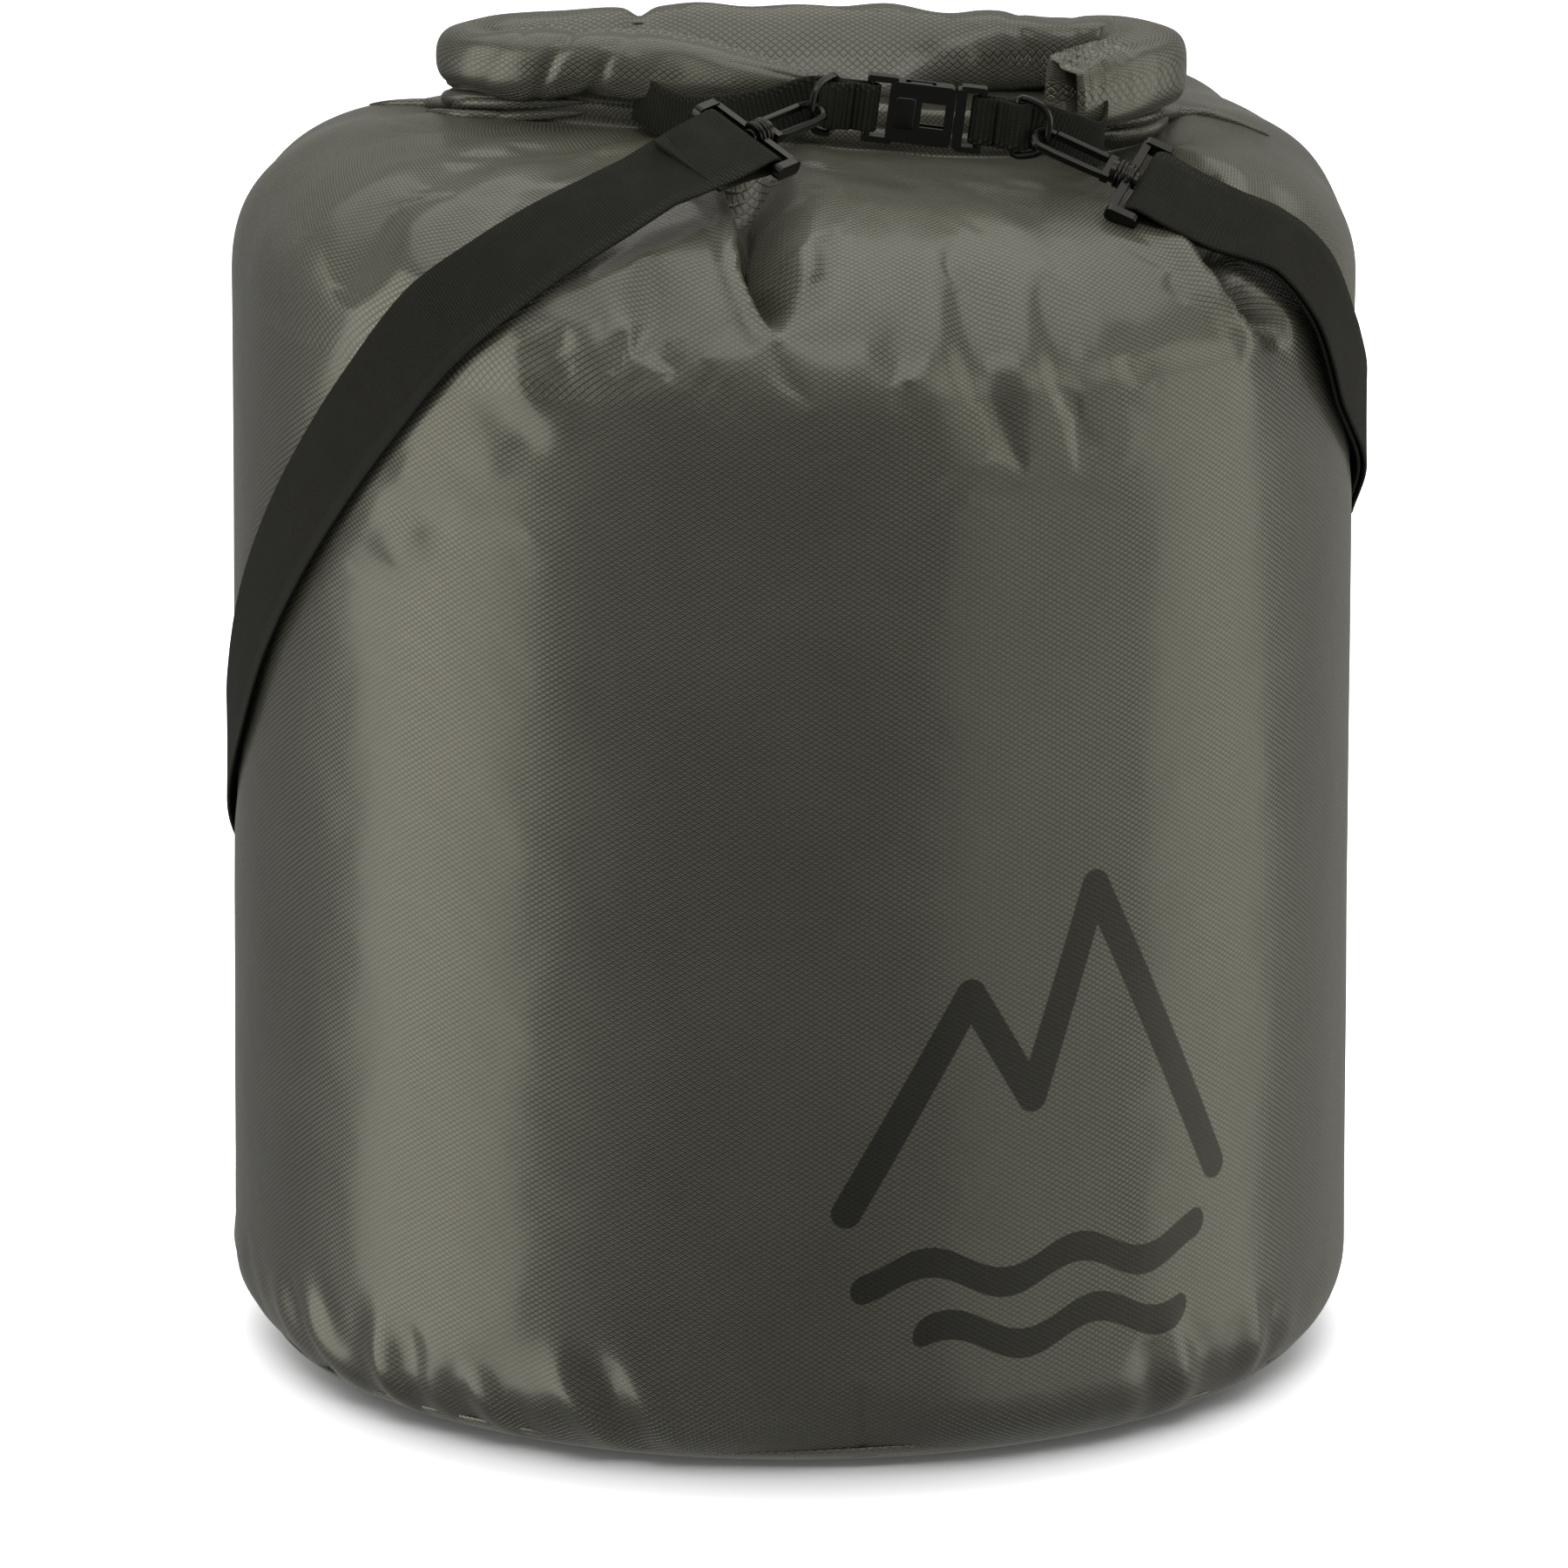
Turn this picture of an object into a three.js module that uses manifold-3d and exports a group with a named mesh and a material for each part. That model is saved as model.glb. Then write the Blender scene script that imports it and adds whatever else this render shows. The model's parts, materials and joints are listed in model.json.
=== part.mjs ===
// Roll-top stuff sack: a stuffed fabric tube whose mouth is rolled, bent forward into a loop and
// buckled, with a shoulder strap on two swivel snap hooks. Millimetres, +Z up, the front faces -Y.
// The origin is the middle of the flat base.
import * as THREE from "three";
import { mergeVertices } from "three/addons/utils/BufferGeometryUtils.js";
import Module from "manifold-3d";

// Driving dimensions.
const BODY_R = 233; // radius of the stuffed tube
const HEM_R = 34; // rounding where the side turns under to the base
const RIM_Z = 450; // height where the shoulder starts to close
const FABRIC = 2; // shell thickness
const LOOP_X = 146; // half width of the neck under the roll
const LOOP_Y = 45; // half depth of the neck under the roll
const LOOP_MID = [5, 10]; // middle of the neck in plan
const NECK_Z = 514; // mean height of the neck
const BASE_R = BODY_R - HEM_R - 0.5; // radius of the flat base disc
const ROLL_HALF = [14, 17]; // half thickness and half height of the roll
const ROLL_WALL = 3;
const CLOSURE_W = 20; // closure webbing width
const STRAP_W = 38; // shoulder strap width
const WEB_T = 1.6; // webbing thickness
const SKIN_GAP = 2.2; // strap centre line off the fabric
const BUCKLE_AT = [54, -80, 538]; // middle of the buckle
const BUCKLE_TILT = THREE.MathUtils.degToRad(7); // its right end hangs lower
const D_BAR_AT = 38; // D-ring bar from the buckle's middle, along the closure
const D_DEPTH = 13.5; // D-ring bar to its far wire
const HOOK_REACH = 59.5; // D-ring bar to the strap bar of the hook
const LAYER_2 = 5.0; // centre of the strap's second layer off the fabric
const GLIDE_ANGLE = -150; // place of the strap adjuster round the back, degrees
const GLIDE_Z = 150;

const V = (x, y, z) => new THREE.Vector3(x, y, z);
const rad = THREE.MathUtils.degToRad;

// Materials, by the slot each part takes.
const fabric = new THREE.MeshStandardMaterial({ color: 0x5f5f54, roughness: 0.5 });
const webbing = new THREE.MeshStandardMaterial({ color: 0x191a17, roughness: 0.85 });
const plastic = new THREE.MeshStandardMaterial({ color: 0x202220, roughness: 0.45 });
const tape = new THREE.MeshStandardMaterial({ color: 0x6a6b62, roughness: 0.6 });
const stiffener = new THREE.MeshStandardMaterial({ color: 0x2a2b28, roughness: 0.6 });

// Booleans.
const wasm = await Module();
wasm.setup();

function solid(geometry) {
  const bare = geometry.clone();
  bare.deleteAttribute("normal");
  bare.deleteAttribute("uv");
  const merged = mergeVertices(bare, 1e-4);
  return new wasm.Manifold(
    new wasm.Mesh({
      numProp: 3,
      vertProperties: merged.attributes.position.array,
      triVerts: new Uint32Array(merged.index.array),
    }),
  );
}

function geometryOf(manifold) {
  const out = manifold.getMesh();
  const geometry = new THREE.BufferGeometry();
  geometry.setAttribute("position", new THREE.BufferAttribute(out.vertProperties, 3));
  geometry.setIndex(new THREE.BufferAttribute(out.triVerts, 1));
  geometry.computeVertexNormals();
  return geometry;
}

function carve(added, removed = []) {
  const whole = added.map(solid).reduce((a, b) => a.add(b));
  return geometryOf(removed.map(solid).reduce((a, b) => a.subtract(b), whole));
}

// Simple closed shapes.
function box(x0, x1, y0, y1, z0, z1) {
  const geometry = new THREE.BoxGeometry(x1 - x0, y1 - y0, z1 - z0);
  return geometry.translate((x0 + x1) / 2, (y0 + y1) / 2, (z0 + z1) / 2);
}

function rodX(x0, x1, r, y = 0, z = 0) {
  const geometry = new THREE.CylinderGeometry(r, r, x1 - x0, 20).rotateZ(Math.PI / 2);
  return geometry.translate((x0 + x1) / 2, y, z);
}

function rodY(y0, y1, r, x = 0, z = 0) {
  return new THREE.CylinderGeometry(r, r, y1 - y0, 16).translate(x, (y0 + y1) / 2, z);
}

function rodZ(z0, z1, r, x = 0, y = 0) {
  const geometry = new THREE.CylinderGeometry(r, r, z1 - z0, 16).rotateX(Math.PI / 2);
  return geometry.translate(x, y, (z0 + z1) / 2);
}

// A plate in the XZ plane with rounded corners, from y0 to y1.
function plateXZ(x0, x1, z0, z1, y0, y1, r) {
  const s = new THREE.Shape();
  s.moveTo(x0 + r, z0).lineTo(x1 - r, z0).absarc(x1 - r, z0 + r, r, -Math.PI / 2, 0);
  s.lineTo(x1, z1 - r).absarc(x1 - r, z1 - r, r, 0, Math.PI / 2);
  s.lineTo(x0 + r, z1).absarc(x0 + r, z1 - r, r, Math.PI / 2, Math.PI);
  s.lineTo(x0, z0 + r).absarc(x0 + r, z0 + r, r, Math.PI, 1.5 * Math.PI);
  const geometry = new THREE.ExtrudeGeometry(s, { depth: y1 - y0, bevelEnabled: false, curveSegments: 4 });
  return geometry.rotateX(Math.PI / 2).translate(0, y1, 0);
}

// Closed skin through rings of points. A ring is a list of Vector3, all of one length, turning
// anticlockwise when it is seen from the next ring's side. Open stacks get a fan at both ends.
function loft(rings, endless = false) {
  const sides = rings[0].length;
  const points = rings.flat();
  const faces = [];
  const bands = endless ? rings.length : rings.length - 1;
  for (let i = 0; i < bands; i++) {
    const next = (i + 1) % rings.length;
    for (let j = 0; j < sides; j++) {
      const k = (j + 1) % sides;
      faces.push(i * sides + j, i * sides + k, next * sides + k);
      faces.push(i * sides + j, next * sides + k, next * sides + j);
    }
  }
  if (!endless) {
    for (const [at, turn] of [[0, 1], [rings.length - 1, 0]]) {
      const middle = rings[at].reduce((a, p) => a.clone().add(p)).divideScalar(sides);
      points.push(middle);
      for (let j = 0; j < sides; j++) {
        const a = at * sides + j;
        const b = at * sides + ((j + 1) % sides);
        faces.push(points.length - 1, turn ? b : a, turn ? a : b);
      }
    }
  }
  const geometry = new THREE.BufferGeometry().setFromPoints(points);
  geometry.setIndex(faces);
  geometry.computeVertexNormals();
  return geometry;
}

// Stations along a curve through points, each with its width direction.
function stations(points, widths, steps) {
  const path = new THREE.CatmullRomCurve3(points, false, "centripetal");
  const last = points.length - 1;
  return Array.from({ length: steps + 1 }, (_, i) => {
    const spot = Math.min(Math.floor((i / steps) * last), last - 1);
    const p = path.getPoint(i / steps);
    const t = path.getTangent(i / steps);
    const w = widths[spot].clone().lerp(widths[spot + 1], (i / steps) * last - spot);
    w.addScaledVector(t, -w.dot(t)).normalize();
    return { p, w, n: V(0, 0, 0).crossVectors(t, w).normalize() };
  });
}

// A flat band of the given width and thickness along stations.
function ribbon(list, width, thickness) {
  const corners = [[-1, -1], [1, -1], [1, 1], [-1, 1]];
  return loft(
    list.map(({ p, w, n }) =>
      corners.map(([a, b]) =>
        p.clone().addScaledVector(w, (a * width) / 2).addScaledVector(n, (b * thickness) / 2),
      ),
    ),
  );
}

// One ring of an elliptical section, half sizes a along the width and b across it.
function ellipse({ p, w, n }, a, b, sides) {
  return Array.from({ length: sides }, (_, j) => {
    const turn = (2 * Math.PI * j) / sides;
    const q = p.clone().addScaledVector(w, a * Math.cos(turn));
    return q.addScaledVector(n, b * Math.sin(turn));
  });
}

// The stuffed body. An angle of 0 is the front and 90 the right side.
const SEGMENTS = 56;

function ringAt(radius, z) {
  return Array.from({ length: SEGMENTS }, (_, j) => {
    const a = (2 * Math.PI * j) / SEGMENTS;
    return V(radius * Math.sin(a), -radius * Math.cos(a), z);
  });
}

// Shoulder ring: the round tube at turn 0 closes to the narrow neck at turn 1.
function shoulderRing(turn, inset, close = 0) {
  return Array.from({ length: SEGMENTS }, (_, j) => {
    const a = (2 * Math.PI * j) / SEGMENTS;
    const square = 0.82 + 0.15 * Math.sin(2 * a);
    const outward = Math.cos((turn * Math.PI) / 2) ** square;
    const upward = Math.sin((turn * Math.PI) / 2) ** square;
    const neckZ = NECK_Z - 4 * Math.sin(a) - 5 * Math.sin(2 * a);
    const rim = V((BODY_R - inset) * Math.sin(a), -(BODY_R - inset) * Math.cos(a), 0);
    const neck = V(LOOP_MID[0] + (LOOP_X - inset) * Math.sin(a), LOOP_MID[1] - (LOOP_Y - inset) * Math.cos(a), 0);
    const p = neck.lerp(rim, turn >= 1 ? 0 : outward);
    p.lerp(V(...LOOP_MID, 0), close);
    p.z = RIM_Z + (neckZ - RIM_Z) * upward - inset * turn + 2 * close;
    return p;
  });
}

function shellRings(inset) {
  const rings = [];
  for (let i = 0; i <= 5; i++) {
    const a = (Math.PI / 2) * (i / 5);
    const r = BODY_R - HEM_R + (HEM_R - inset) * Math.sin(a);
    rings.push(ringAt(r, HEM_R - (HEM_R - inset) * Math.cos(a)));
  }
  for (const z of [180, 320]) rings.push(ringAt(BODY_R - inset, z));
  for (let i = 0; i <= 7; i++) rings.push(shoulderRing(i / 7, inset));
  for (const close of [0.5, 0.97]) rings.push(shoulderRing(1, inset, close));
  return rings;
}

function bodyPanel() {
  const outer = shellRings(0);
  const inner = shellRings(FABRIC).reverse();
  return loft([...inner, ...outer]);
}

function basePanel() {
  const disc = new THREE.CylinderGeometry(BASE_R, BASE_R, FABRIC, SEGMENTS);
  return disc.rotateX(Math.PI / 2).translate(0, 0, FABRIC / 2);
}

function baseSeamTape() {
  const z0 = FABRIC + 0.4;
  const section = [[BASE_R - 17, z0], [BASE_R - 1, z0], [BASE_R - 1, z0 + 0.8], [BASE_R - 17, z0 + 0.8]];
  const profile = [...section, section[0]].map(([r, z]) => new THREE.Vector2(r, z));
  return new THREE.LatheGeometry(profile, SEGMENTS).rotateX(Math.PI / 2);
}

// Seam tape welded along the inside of the side seam, at the right rear.
function sideSeamTape() {
  const a = rad(150);
  const r = BODY_R * Math.cos(Math.PI / SEGMENTS) - FABRIC - 1.4;
  const points = [40, 180, 320, 440].map((z) => V(r * Math.sin(a), -r * Math.cos(a), z));
  const across = points.map(() => V(Math.cos(a), Math.sin(a), 0));
  return ribbon(stations(points, across, 3), 22, 0.8);
}

// The rolled mouth, a loop open to the front: left front end, left bend, rear run, right bend.
const ROLL_PATH = [
  [6, -66, 540],
  [-26, -46, 541],
  [-62, -27, 541],
  [-100, -16, 540],
  [-127, -4, 539],
  [-135, 14, 539],
  [-124, 28, 539],
  [-90, 33, 540],
  [-30, 37, 541],
  [40, 37, 541],
  [105, 33, 540],
  [137, 24, 539],
  [144, 6, 539],
  [136, -14, 539],
  [118, -36, 537],
  [104, -52, 535],
];

function rollStations(steps) {
  const points = ROLL_PATH.map((p) => V(...p));
  const up = points.map(() => V(0, 0, 1));
  return stations(points, up, steps);
}

// Half size along the roll: its two ends are pinched flat by the closure webbing.
const swell = (u) => Math.min(1, 0.42 + 7 * Math.min(u, 1 - u));

function rolledMouth() {
  const list = rollStations(52);
  const section = (shrink) =>
    list.map((station, i) => {
      const u = swell(i / (list.length - 1));
      return ellipse(station, ROLL_HALF[1] * u - shrink, ROLL_HALF[0] * u - shrink, 14);
    });
  return loft([...section(0), ...section(ROLL_WALL).reverse()], true);
}

function mouthStiffener() {
  const list = rollStations(52).slice(9, -9);
  return ribbon(list, 19, 1.2);
}

// The closure group has its X along the buckled webbing and its Z along the webbing's width.
const closure = new THREE.Group();
closure.position.set(...BUCKLE_AT);
closure.rotation.y = BUCKLE_TILT;
closure.updateMatrixWorld(true);
const toClosure = (p) => closure.worldToLocal(p.clone());

function femaleBuckle() {
  const added = [plateXZ(-15, 12, -12.6, 12.6, -4.25, 4.25, 2.5), rodZ(-12.5, 12.5, 1.7, -23)];
  const removed = [
    box(-11, 13, -2.5, 2.5, -10.3, 10.3),
    box(-9, 3.5, -2.5, 2.5, -14, 14),
    box(-1.5, 8.5, -6, 6, -5.2, 5.2),
  ];
  for (const side of [-1, 1]) {
    const [z0, z1] = [11.4 * side, 14 * side].sort((a, b) => a - b);
    added.push(plateXZ(-24.7, -12, z0, z1, -3.2, 3.2, 1));
  }
  return carve(added, removed);
}

function maleBuckle() {
  const added = [plateXZ(12.5, 16.5, -12.4, 12.4, -4, 4, 1), rodZ(-12.5, 12.5, 1.7, 23)];
  for (const side of [-1, 1]) {
    const [z0, z1] = [11.4 * side, 13.8 * side].sort((a, b) => a - b);
    added.push(plateXZ(14, 24.7, z0, z1, -3.2, 3.2, 1));
  }
  return carve(added);
}

// A latch arm of the plug, with the thumb pad that shows in the side window.
function buckleProng(side) {
  const arm = [7.2 * side, 9.2 * side].sort((a, b) => a - b);
  const pad = [8.6 * side, 12.3 * side].sort((a, b) => a - b);
  return carve([box(-7, 12.1, -2, 2, ...arm), plateXZ(-7.5, 2.6, ...pad, -2, 2, 1)]);
}

// Closure webbing: from inside the roll's end, past the D-ring bar and round the buckle bar.
function closureWebbing(side, tail) {
  const near = [...tail.map((p) => toClosure(V(...p))), V(46 * side, 1, 0), V(38 * side, 0.4, 0)];
  const fold = [V(31 * side, -1.3, 0), V(27 * side, -2.6, 0), V(23 * side, -3, 0)];
  const turn = [V(20.2 * side, -1.8, 0), V(19.6 * side, 0, 0), V(20.2 * side, 1.8, 0)];
  const back = [V(23 * side, 3, 0), V(27 * side, 3, 0), V(32 * side, 2.3, 0), V(40 * side, 3, 0)];
  const points = [...near, ...fold, ...turn, ...back];
  return ribbon(stations(points, points.map(() => V(0, 0, 1)), 46), CLOSURE_W, WEB_T);
}

const LEFT_TAIL = [
  [-46, -58, 530],
  [-28, -73, 534],
  [-8, -80, 539],
];
const RIGHT_TAIL = [
  [124, -62, 519],
  [112, -74, 527],
];

// Short webbing sewn over the D-ring's straight bar.
function ringKeeper(side) {
  const arch = [[43, -1.7], [41.4, -3.6], [40, -6], [38, -6.7], [35.6, -5.8], [33.4, -4.2], [30, -4.2]];
  const points = arch.map(([x, y]) => V(x * side, y, 0));
  return ribbon(stations(points, points.map(() => V(0, 0, 1)), 18), CLOSURE_W, WEB_T);
}

// Hooks: each has its own frame, X from the strap bar to the D-ring, Y along the strap bar.
const D_BAR_Y = -3.8;
const HOOKS = {
  left: { towards: V(-0.628, -0.776, -0.084), width: V(0.726, -0.542, -0.423) },
  right: { towards: V(0.9, -0.2, -0.38), width: V(-0.2, -0.85, -0.49) },
};
for (const [name, hook] of Object.entries(HOOKS)) {
  const side = name === "left" ? -1 : 1;
  hook.towards.normalize();
  hook.ringBar = closure.localToWorld(V(D_BAR_AT * side, D_BAR_Y, 0));
  hook.at = hook.ringBar.clone().addScaledVector(hook.towards, HOOK_REACH);
  const x = hook.towards.clone().negate();
  const y = hook.width.addScaledVector(x, -hook.width.dot(x)).normalize();
  hook.frame = new THREE.Matrix4().makeBasis(x, y, V(0, 0, 0).crossVectors(x, y));
  hook.frame.setPosition(hook.at);
}

// D-ring in its own frame: bar along Y at the origin, loop towards +X.
function dRing() {
  const points = [];
  for (let i = 0; i < 9; i++) {
    const a = -Math.PI / 2 + (Math.PI * i) / 8;
    const bulge = (v) => Math.sign(v) * Math.abs(v) ** 0.72;
    points.push(V(D_DEPTH * bulge(Math.max(Math.cos(a), 0)), 11.8 * bulge(Math.sin(a)), 0));
  }
  points.push(V(0, 6, 0), V(0, 0, 0), V(0, -6, 0));
  const path = new THREE.CatmullRomCurve3(points, true, "centripetal");
  const steps = 34;
  const list = Array.from({ length: steps }, (_, i) => {
    const t = path.getTangent(i / steps);
    const w = V(0, 0, 1);
    return { p: path.getPoint(i / steps), w, n: V(0, 0, 0).crossVectors(t, w) };
  });
  return loft(list.map((station) => ellipse(station, 1.5, 1.6, 8)), true);
}

// Strap loop of the snap hook, with the boss that the hook's stem turns in.
function hookBase() {
  const added = [rodY(-21, 21, 2.2), box(7, 10.4, -22, 22, -2.4, 2.4), rodX(7, 14, 5.4)];
  for (const side of [-1, 1]) {
    const [y0, y1] = [20.6 * side, 24.2 * side].sort((a, b) => a - b);
    const end = plateXZ(-3.4, 10.4, -3.2, 3.2, y0, y1, 2.4);
    added.push(end);
  }
  return carve(added, [rodX(6, 15, 2.5)]);
}

// Hook: stem with a head, collar, yoke and the rigid arm that bends round to the nose.
function hookBody() {
  const line = [[18, 4.6], [24, 5.2], [44, 5.2], [49, 4.2], [51.4, 0], [49, -4.2], [46, -5.2], [43.6, -5.2]];
  const points = line.map(([x, y]) => V(x, y, 0));
  const armLine = stations(points, points.map(() => V(0, 0, 1)), 24);
  const arm = loft(armLine.map((station) => ellipse(station, 2.1, 1.9, 8)));
  const yoke = box(16, 19.4, -6.6, 6.6, -2.1, 2.1);
  return carve([rodX(5.4, 16.4, 2), rodX(4.8, 6.6, 3.8), rodX(14.4, 16.8, 5), yoke, arm]);
}

function hookGate() {
  return carve([box(19.8, 43.2, -6.5, -4, -1.8, 1.8)]);
}

// Shoulder strap centre line. On the round side it is given by angle and height.
function onWall(degrees, z, out = SKIN_GAP) {
  const a = rad(degrees);
  return V((BODY_R + out) * Math.sin(a), -(BODY_R + out) * Math.cos(a), z);
}

// Points on the shoulders are given with the direction that the strap's outer face looks in.
const LEFT_SHOULDER = [
  [-58, -161, 528, -0.1, -0.45, 0.88],
  [-78, -173, 519, -0.2, -0.62, 0.75],
  [-100, -182, 508, -0.3, -0.74, 0.6],
  [-121, -189, 495, -0.45, -0.8, 0.38],
];
const ROUND_THE_BACK = [
  [-38, 475],
  [-47, 435],
  [-54, 403],
  [-62, 366],
  [-70.5, 326],
  [-78, 288],
  [-90, 245],
  [-100, 217],
  [-111, 190],
  [-120, 168],
  [-128, 154],
  [-135, 150],
  [-142, 150],
  [-150, 150],
  [-158, 150],
  [-165, 150],
  [-172, 152],
  [-181, 158],
  [-190, 171],
  [-202, 195],
  [-215, 230],
  [-229, 272],
  [-243, 314],
  [-257, 354],
  [-270, 388],
  [-285, 428],
  [-290.5, 450],
];
const RIGHT_SHOULDER = [
  [213.5, -95.5, 470, 0.85, -0.4, 0.34],
  [196, -103, 490, 0.62, -0.42, 0.66],
];

// Width direction of a band that lies on a surface: its lower edge, seen from outside.
function lowerEdge(points, normals) {
  return points.map((p, i) => {
    const ahead = points[Math.min(i + 1, points.length - 1)];
    const behind = points[Math.max(i - 1, 0)];
    return V(0, 0, 0).crossVectors(normals[i], ahead.clone().sub(behind)).normalize();
  });
}

// The end of a strap folded round a hook's strap bar: the lower layer, the fold, the upper layer.
// Its points are in the hook's frame, where the strap lies towards -X.
const FOLD = [
  [-34, -1.6], [-22, -1.7], [-10, -2.6], [-3, -3.5], [0, -3.5], [2.6, -2.3], [3.6, 0],
  [2.6, 2.3], [0, 3.5], [-3, 3.5], [-10, 2.6], [-22, 1.4],
];

function foldPoints(hook, sign) {
  return FOLD.map(([x, z]) => V(x, 0, sign * z).applyMatrix4(hook.frame));
}

const spotOf = (s) => V(s[0], s[1], s[2]);
const facing = (s) => V(s[3], s[4], s[5]).normalize();

// Where the long strap and its second layer end, just short of the piece at the right hook.
function rightEnd(lift) {
  const s = RIGHT_SHOULDER[0];
  return V(s[0] + 1.4, s[1] + 4, s[2] - 5).addScaledVector(facing(s), lift);
}

function strapLong() {
  const hook = HOOKS.left;
  const up = V(0, 0, 0).setFromMatrixColumn(hook.frame, 2).z > 0 ? 1 : -1;
  const fold = foldPoints(hook, up);
  const wall = ROUND_THE_BACK.map(([a, z]) => onWall(a, z));
  const surface = [...LEFT_SHOULDER.map(spotOf), ...wall, rightEnd(0)];
  const outward = wall.map((p) => V(p.x, p.y, 0).normalize());
  const normals = [...LEFT_SHOULDER.map(facing), ...outward, facing(RIGHT_SHOULDER[0])];
  const width = V(0, 0, 0).setFromMatrixColumn(hook.frame, 1);
  const widths = [...fold.map(() => width.clone()), ...lowerEdge(surface, normals)];
  return ribbon(stations([...fold, ...surface], widths, 150), STRAP_W, WEB_T);
}

function strapRightLoop() {
  const hook = HOOKS.right;
  const up = V(0, 0, 0).setFromMatrixColumn(hook.frame, 2).z > 0 ? 1 : -1;
  const fold = foldPoints(hook, -up);
  const outer = RIGHT_SHOULDER.map((s) => spotOf(s).addScaledVector(facing(s), LAYER_2 - SKIN_GAP)).reverse();
  const inner = RIGHT_SHOULDER.map(spotOf);
  const width = V(0, 0, 0).setFromMatrixColumn(hook.frame, 1);
  const normals = RIGHT_SHOULDER.map(facing);
  const edges = lowerEdge([...inner, fold[fold.length - 1]], [...normals, normals[1]]).slice(0, 2);
  const points = [...inner, ...fold.reverse(), ...outer];
  const widths = [...edges, ...fold.map(() => width.clone()), ...edges.slice().reverse()];
  return ribbon(stations(points, widths, 60), STRAP_W, WEB_T);
}

// A point beside the adjuster: x along the strap from its middle bar, out from the fabric.
function nearGlide(x, out) {
  return onWall(GLIDE_ANGLE - THREE.MathUtils.radToDeg(x / BODY_R), GLIDE_Z, out);
}

// The strap's second layer, sewn round the adjuster's middle bar, up to the right shoulder.
function strapReturn() {
  const wrap = [[9, 11.6], [4, 12.1], [0, 12.1], [-2.1, 11.3], [-3, 9.2], [-2.1, 7.1], [0, 6.3], [5, 5.5], [14, LAYER_2]];
  const start = wrap.map(([x, out]) => nearGlide(x, out));
  const route = ROUND_THE_BACK.filter(([a]) => a < GLIDE_ANGLE - 6);
  const wall = route.map(([a, z]) => onWall(a, z, LAYER_2));
  const points = [...start, ...wall, rightEnd(LAYER_2 - SKIN_GAP)];
  const normals = points.map((p) => V(p.x, p.y, 0).normalize());
  normals[normals.length - 1] = facing(RIGHT_SHOULDER[0]);
  const widths = lowerEdge(points, normals);
  widths.splice(0, wrap.length, ...wrap.map(() => V(0, 0, -1)));
  return ribbon(stations(points, widths, 90), STRAP_W, WEB_T);
}

// Strap adjuster in its own frame: X along the strap, Y outward, Z up.
function adjuster() {
  const added = [-12.5, 0, 12.5].map((x) => rodZ(-21.5, 21.5, 1.6, x, x === 0 ? 9.2 : 8.6));
  for (const side of [-1, 1]) {
    const [z0, z1] = [20.4 * side, 23.4 * side].sort((a, b) => a - b);
    added.push(plateXZ(-14.5, 14.5, z0, z1, 6.4, 11.4, 1));
  }
  return carve(added);
}

// Assembly.
const sack = new THREE.Group();

function add(parent, name, geometry, material) {
  const mesh = new THREE.Mesh(geometry, material);
  mesh.name = name;
  parent.add(mesh);
  return mesh;
}

add(sack, "body_panel", bodyPanel(), fabric);
add(sack, "base_panel", basePanel(), fabric);
add(sack, "base_seam_tape", baseSeamTape(), tape);
add(sack, "side_seam_tape", sideSeamTape(), tape);
add(sack, "rolled_mouth", rolledMouth(), fabric);
add(sack, "mouth_stiffener", mouthStiffener(), stiffener);

sack.add(closure);
add(closure, "buckle_female", femaleBuckle(), plastic);
add(closure, "buckle_male", maleBuckle(), plastic);
add(closure, "buckle_prong_upper", buckleProng(1), plastic);
add(closure, "buckle_prong_lower", buckleProng(-1), plastic);
add(closure, "closure_webbing_left", closureWebbing(-1, LEFT_TAIL), webbing);
add(closure, "closure_webbing_right", closureWebbing(1, RIGHT_TAIL), webbing);
add(closure, "ring_keeper_left", ringKeeper(-1), webbing);
add(closure, "ring_keeper_right", ringKeeper(1), webbing);

for (const [name, hook] of Object.entries(HOOKS)) {
  const ring = new THREE.Group();
  const barLine = V(0, 0, 0).setFromMatrixColumn(closure.matrixWorld, 2);
  const out = hook.towards.clone().addScaledVector(barLine, -hook.towards.dot(barLine)).normalize();
  ring.applyMatrix4(new THREE.Matrix4().makeBasis(out, barLine, V(0, 0, 0).crossVectors(out, barLine)));
  ring.position.copy(hook.ringBar);
  sack.add(ring);
  add(ring, "d_ring_" + name, dRing(), plastic);
  const snap = new THREE.Group();
  snap.applyMatrix4(hook.frame);
  sack.add(snap);
  add(snap, "hook_base_" + name, hookBase(), plastic);
  add(snap, "hook_" + name, hookBody(), plastic);
  add(snap, "hook_gate_" + name, hookGate(), plastic);
}

add(sack, "strap_long", strapLong(), webbing);
add(sack, "strap_right_loop", strapRightLoop(), webbing);
add(sack, "strap_return", strapReturn(), webbing);

const glide = new THREE.Group();
glide.position.copy(onWall(GLIDE_ANGLE, GLIDE_Z, 0));
glide.rotation.z = rad(GLIDE_ANGLE) + Math.PI;
sack.add(glide);
add(glide, "strap_adjuster", adjuster(), plastic);

export default sack;
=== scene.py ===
"""Roll-top stuff sack: coated ripstop body, rolled mouth, buckled closure and a strap on snap hooks.

Shapes are worked out in millimetres in the CAD model's frame and turned into metres when a mesh is made.
An angle of 0 is the front of the bag (-Y) and 90 is its right side (+X).
"""

import json
import math

import bmesh
import bpy
import numpy as np
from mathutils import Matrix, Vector
from mathutils.bvhtree import BVHTree


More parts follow.
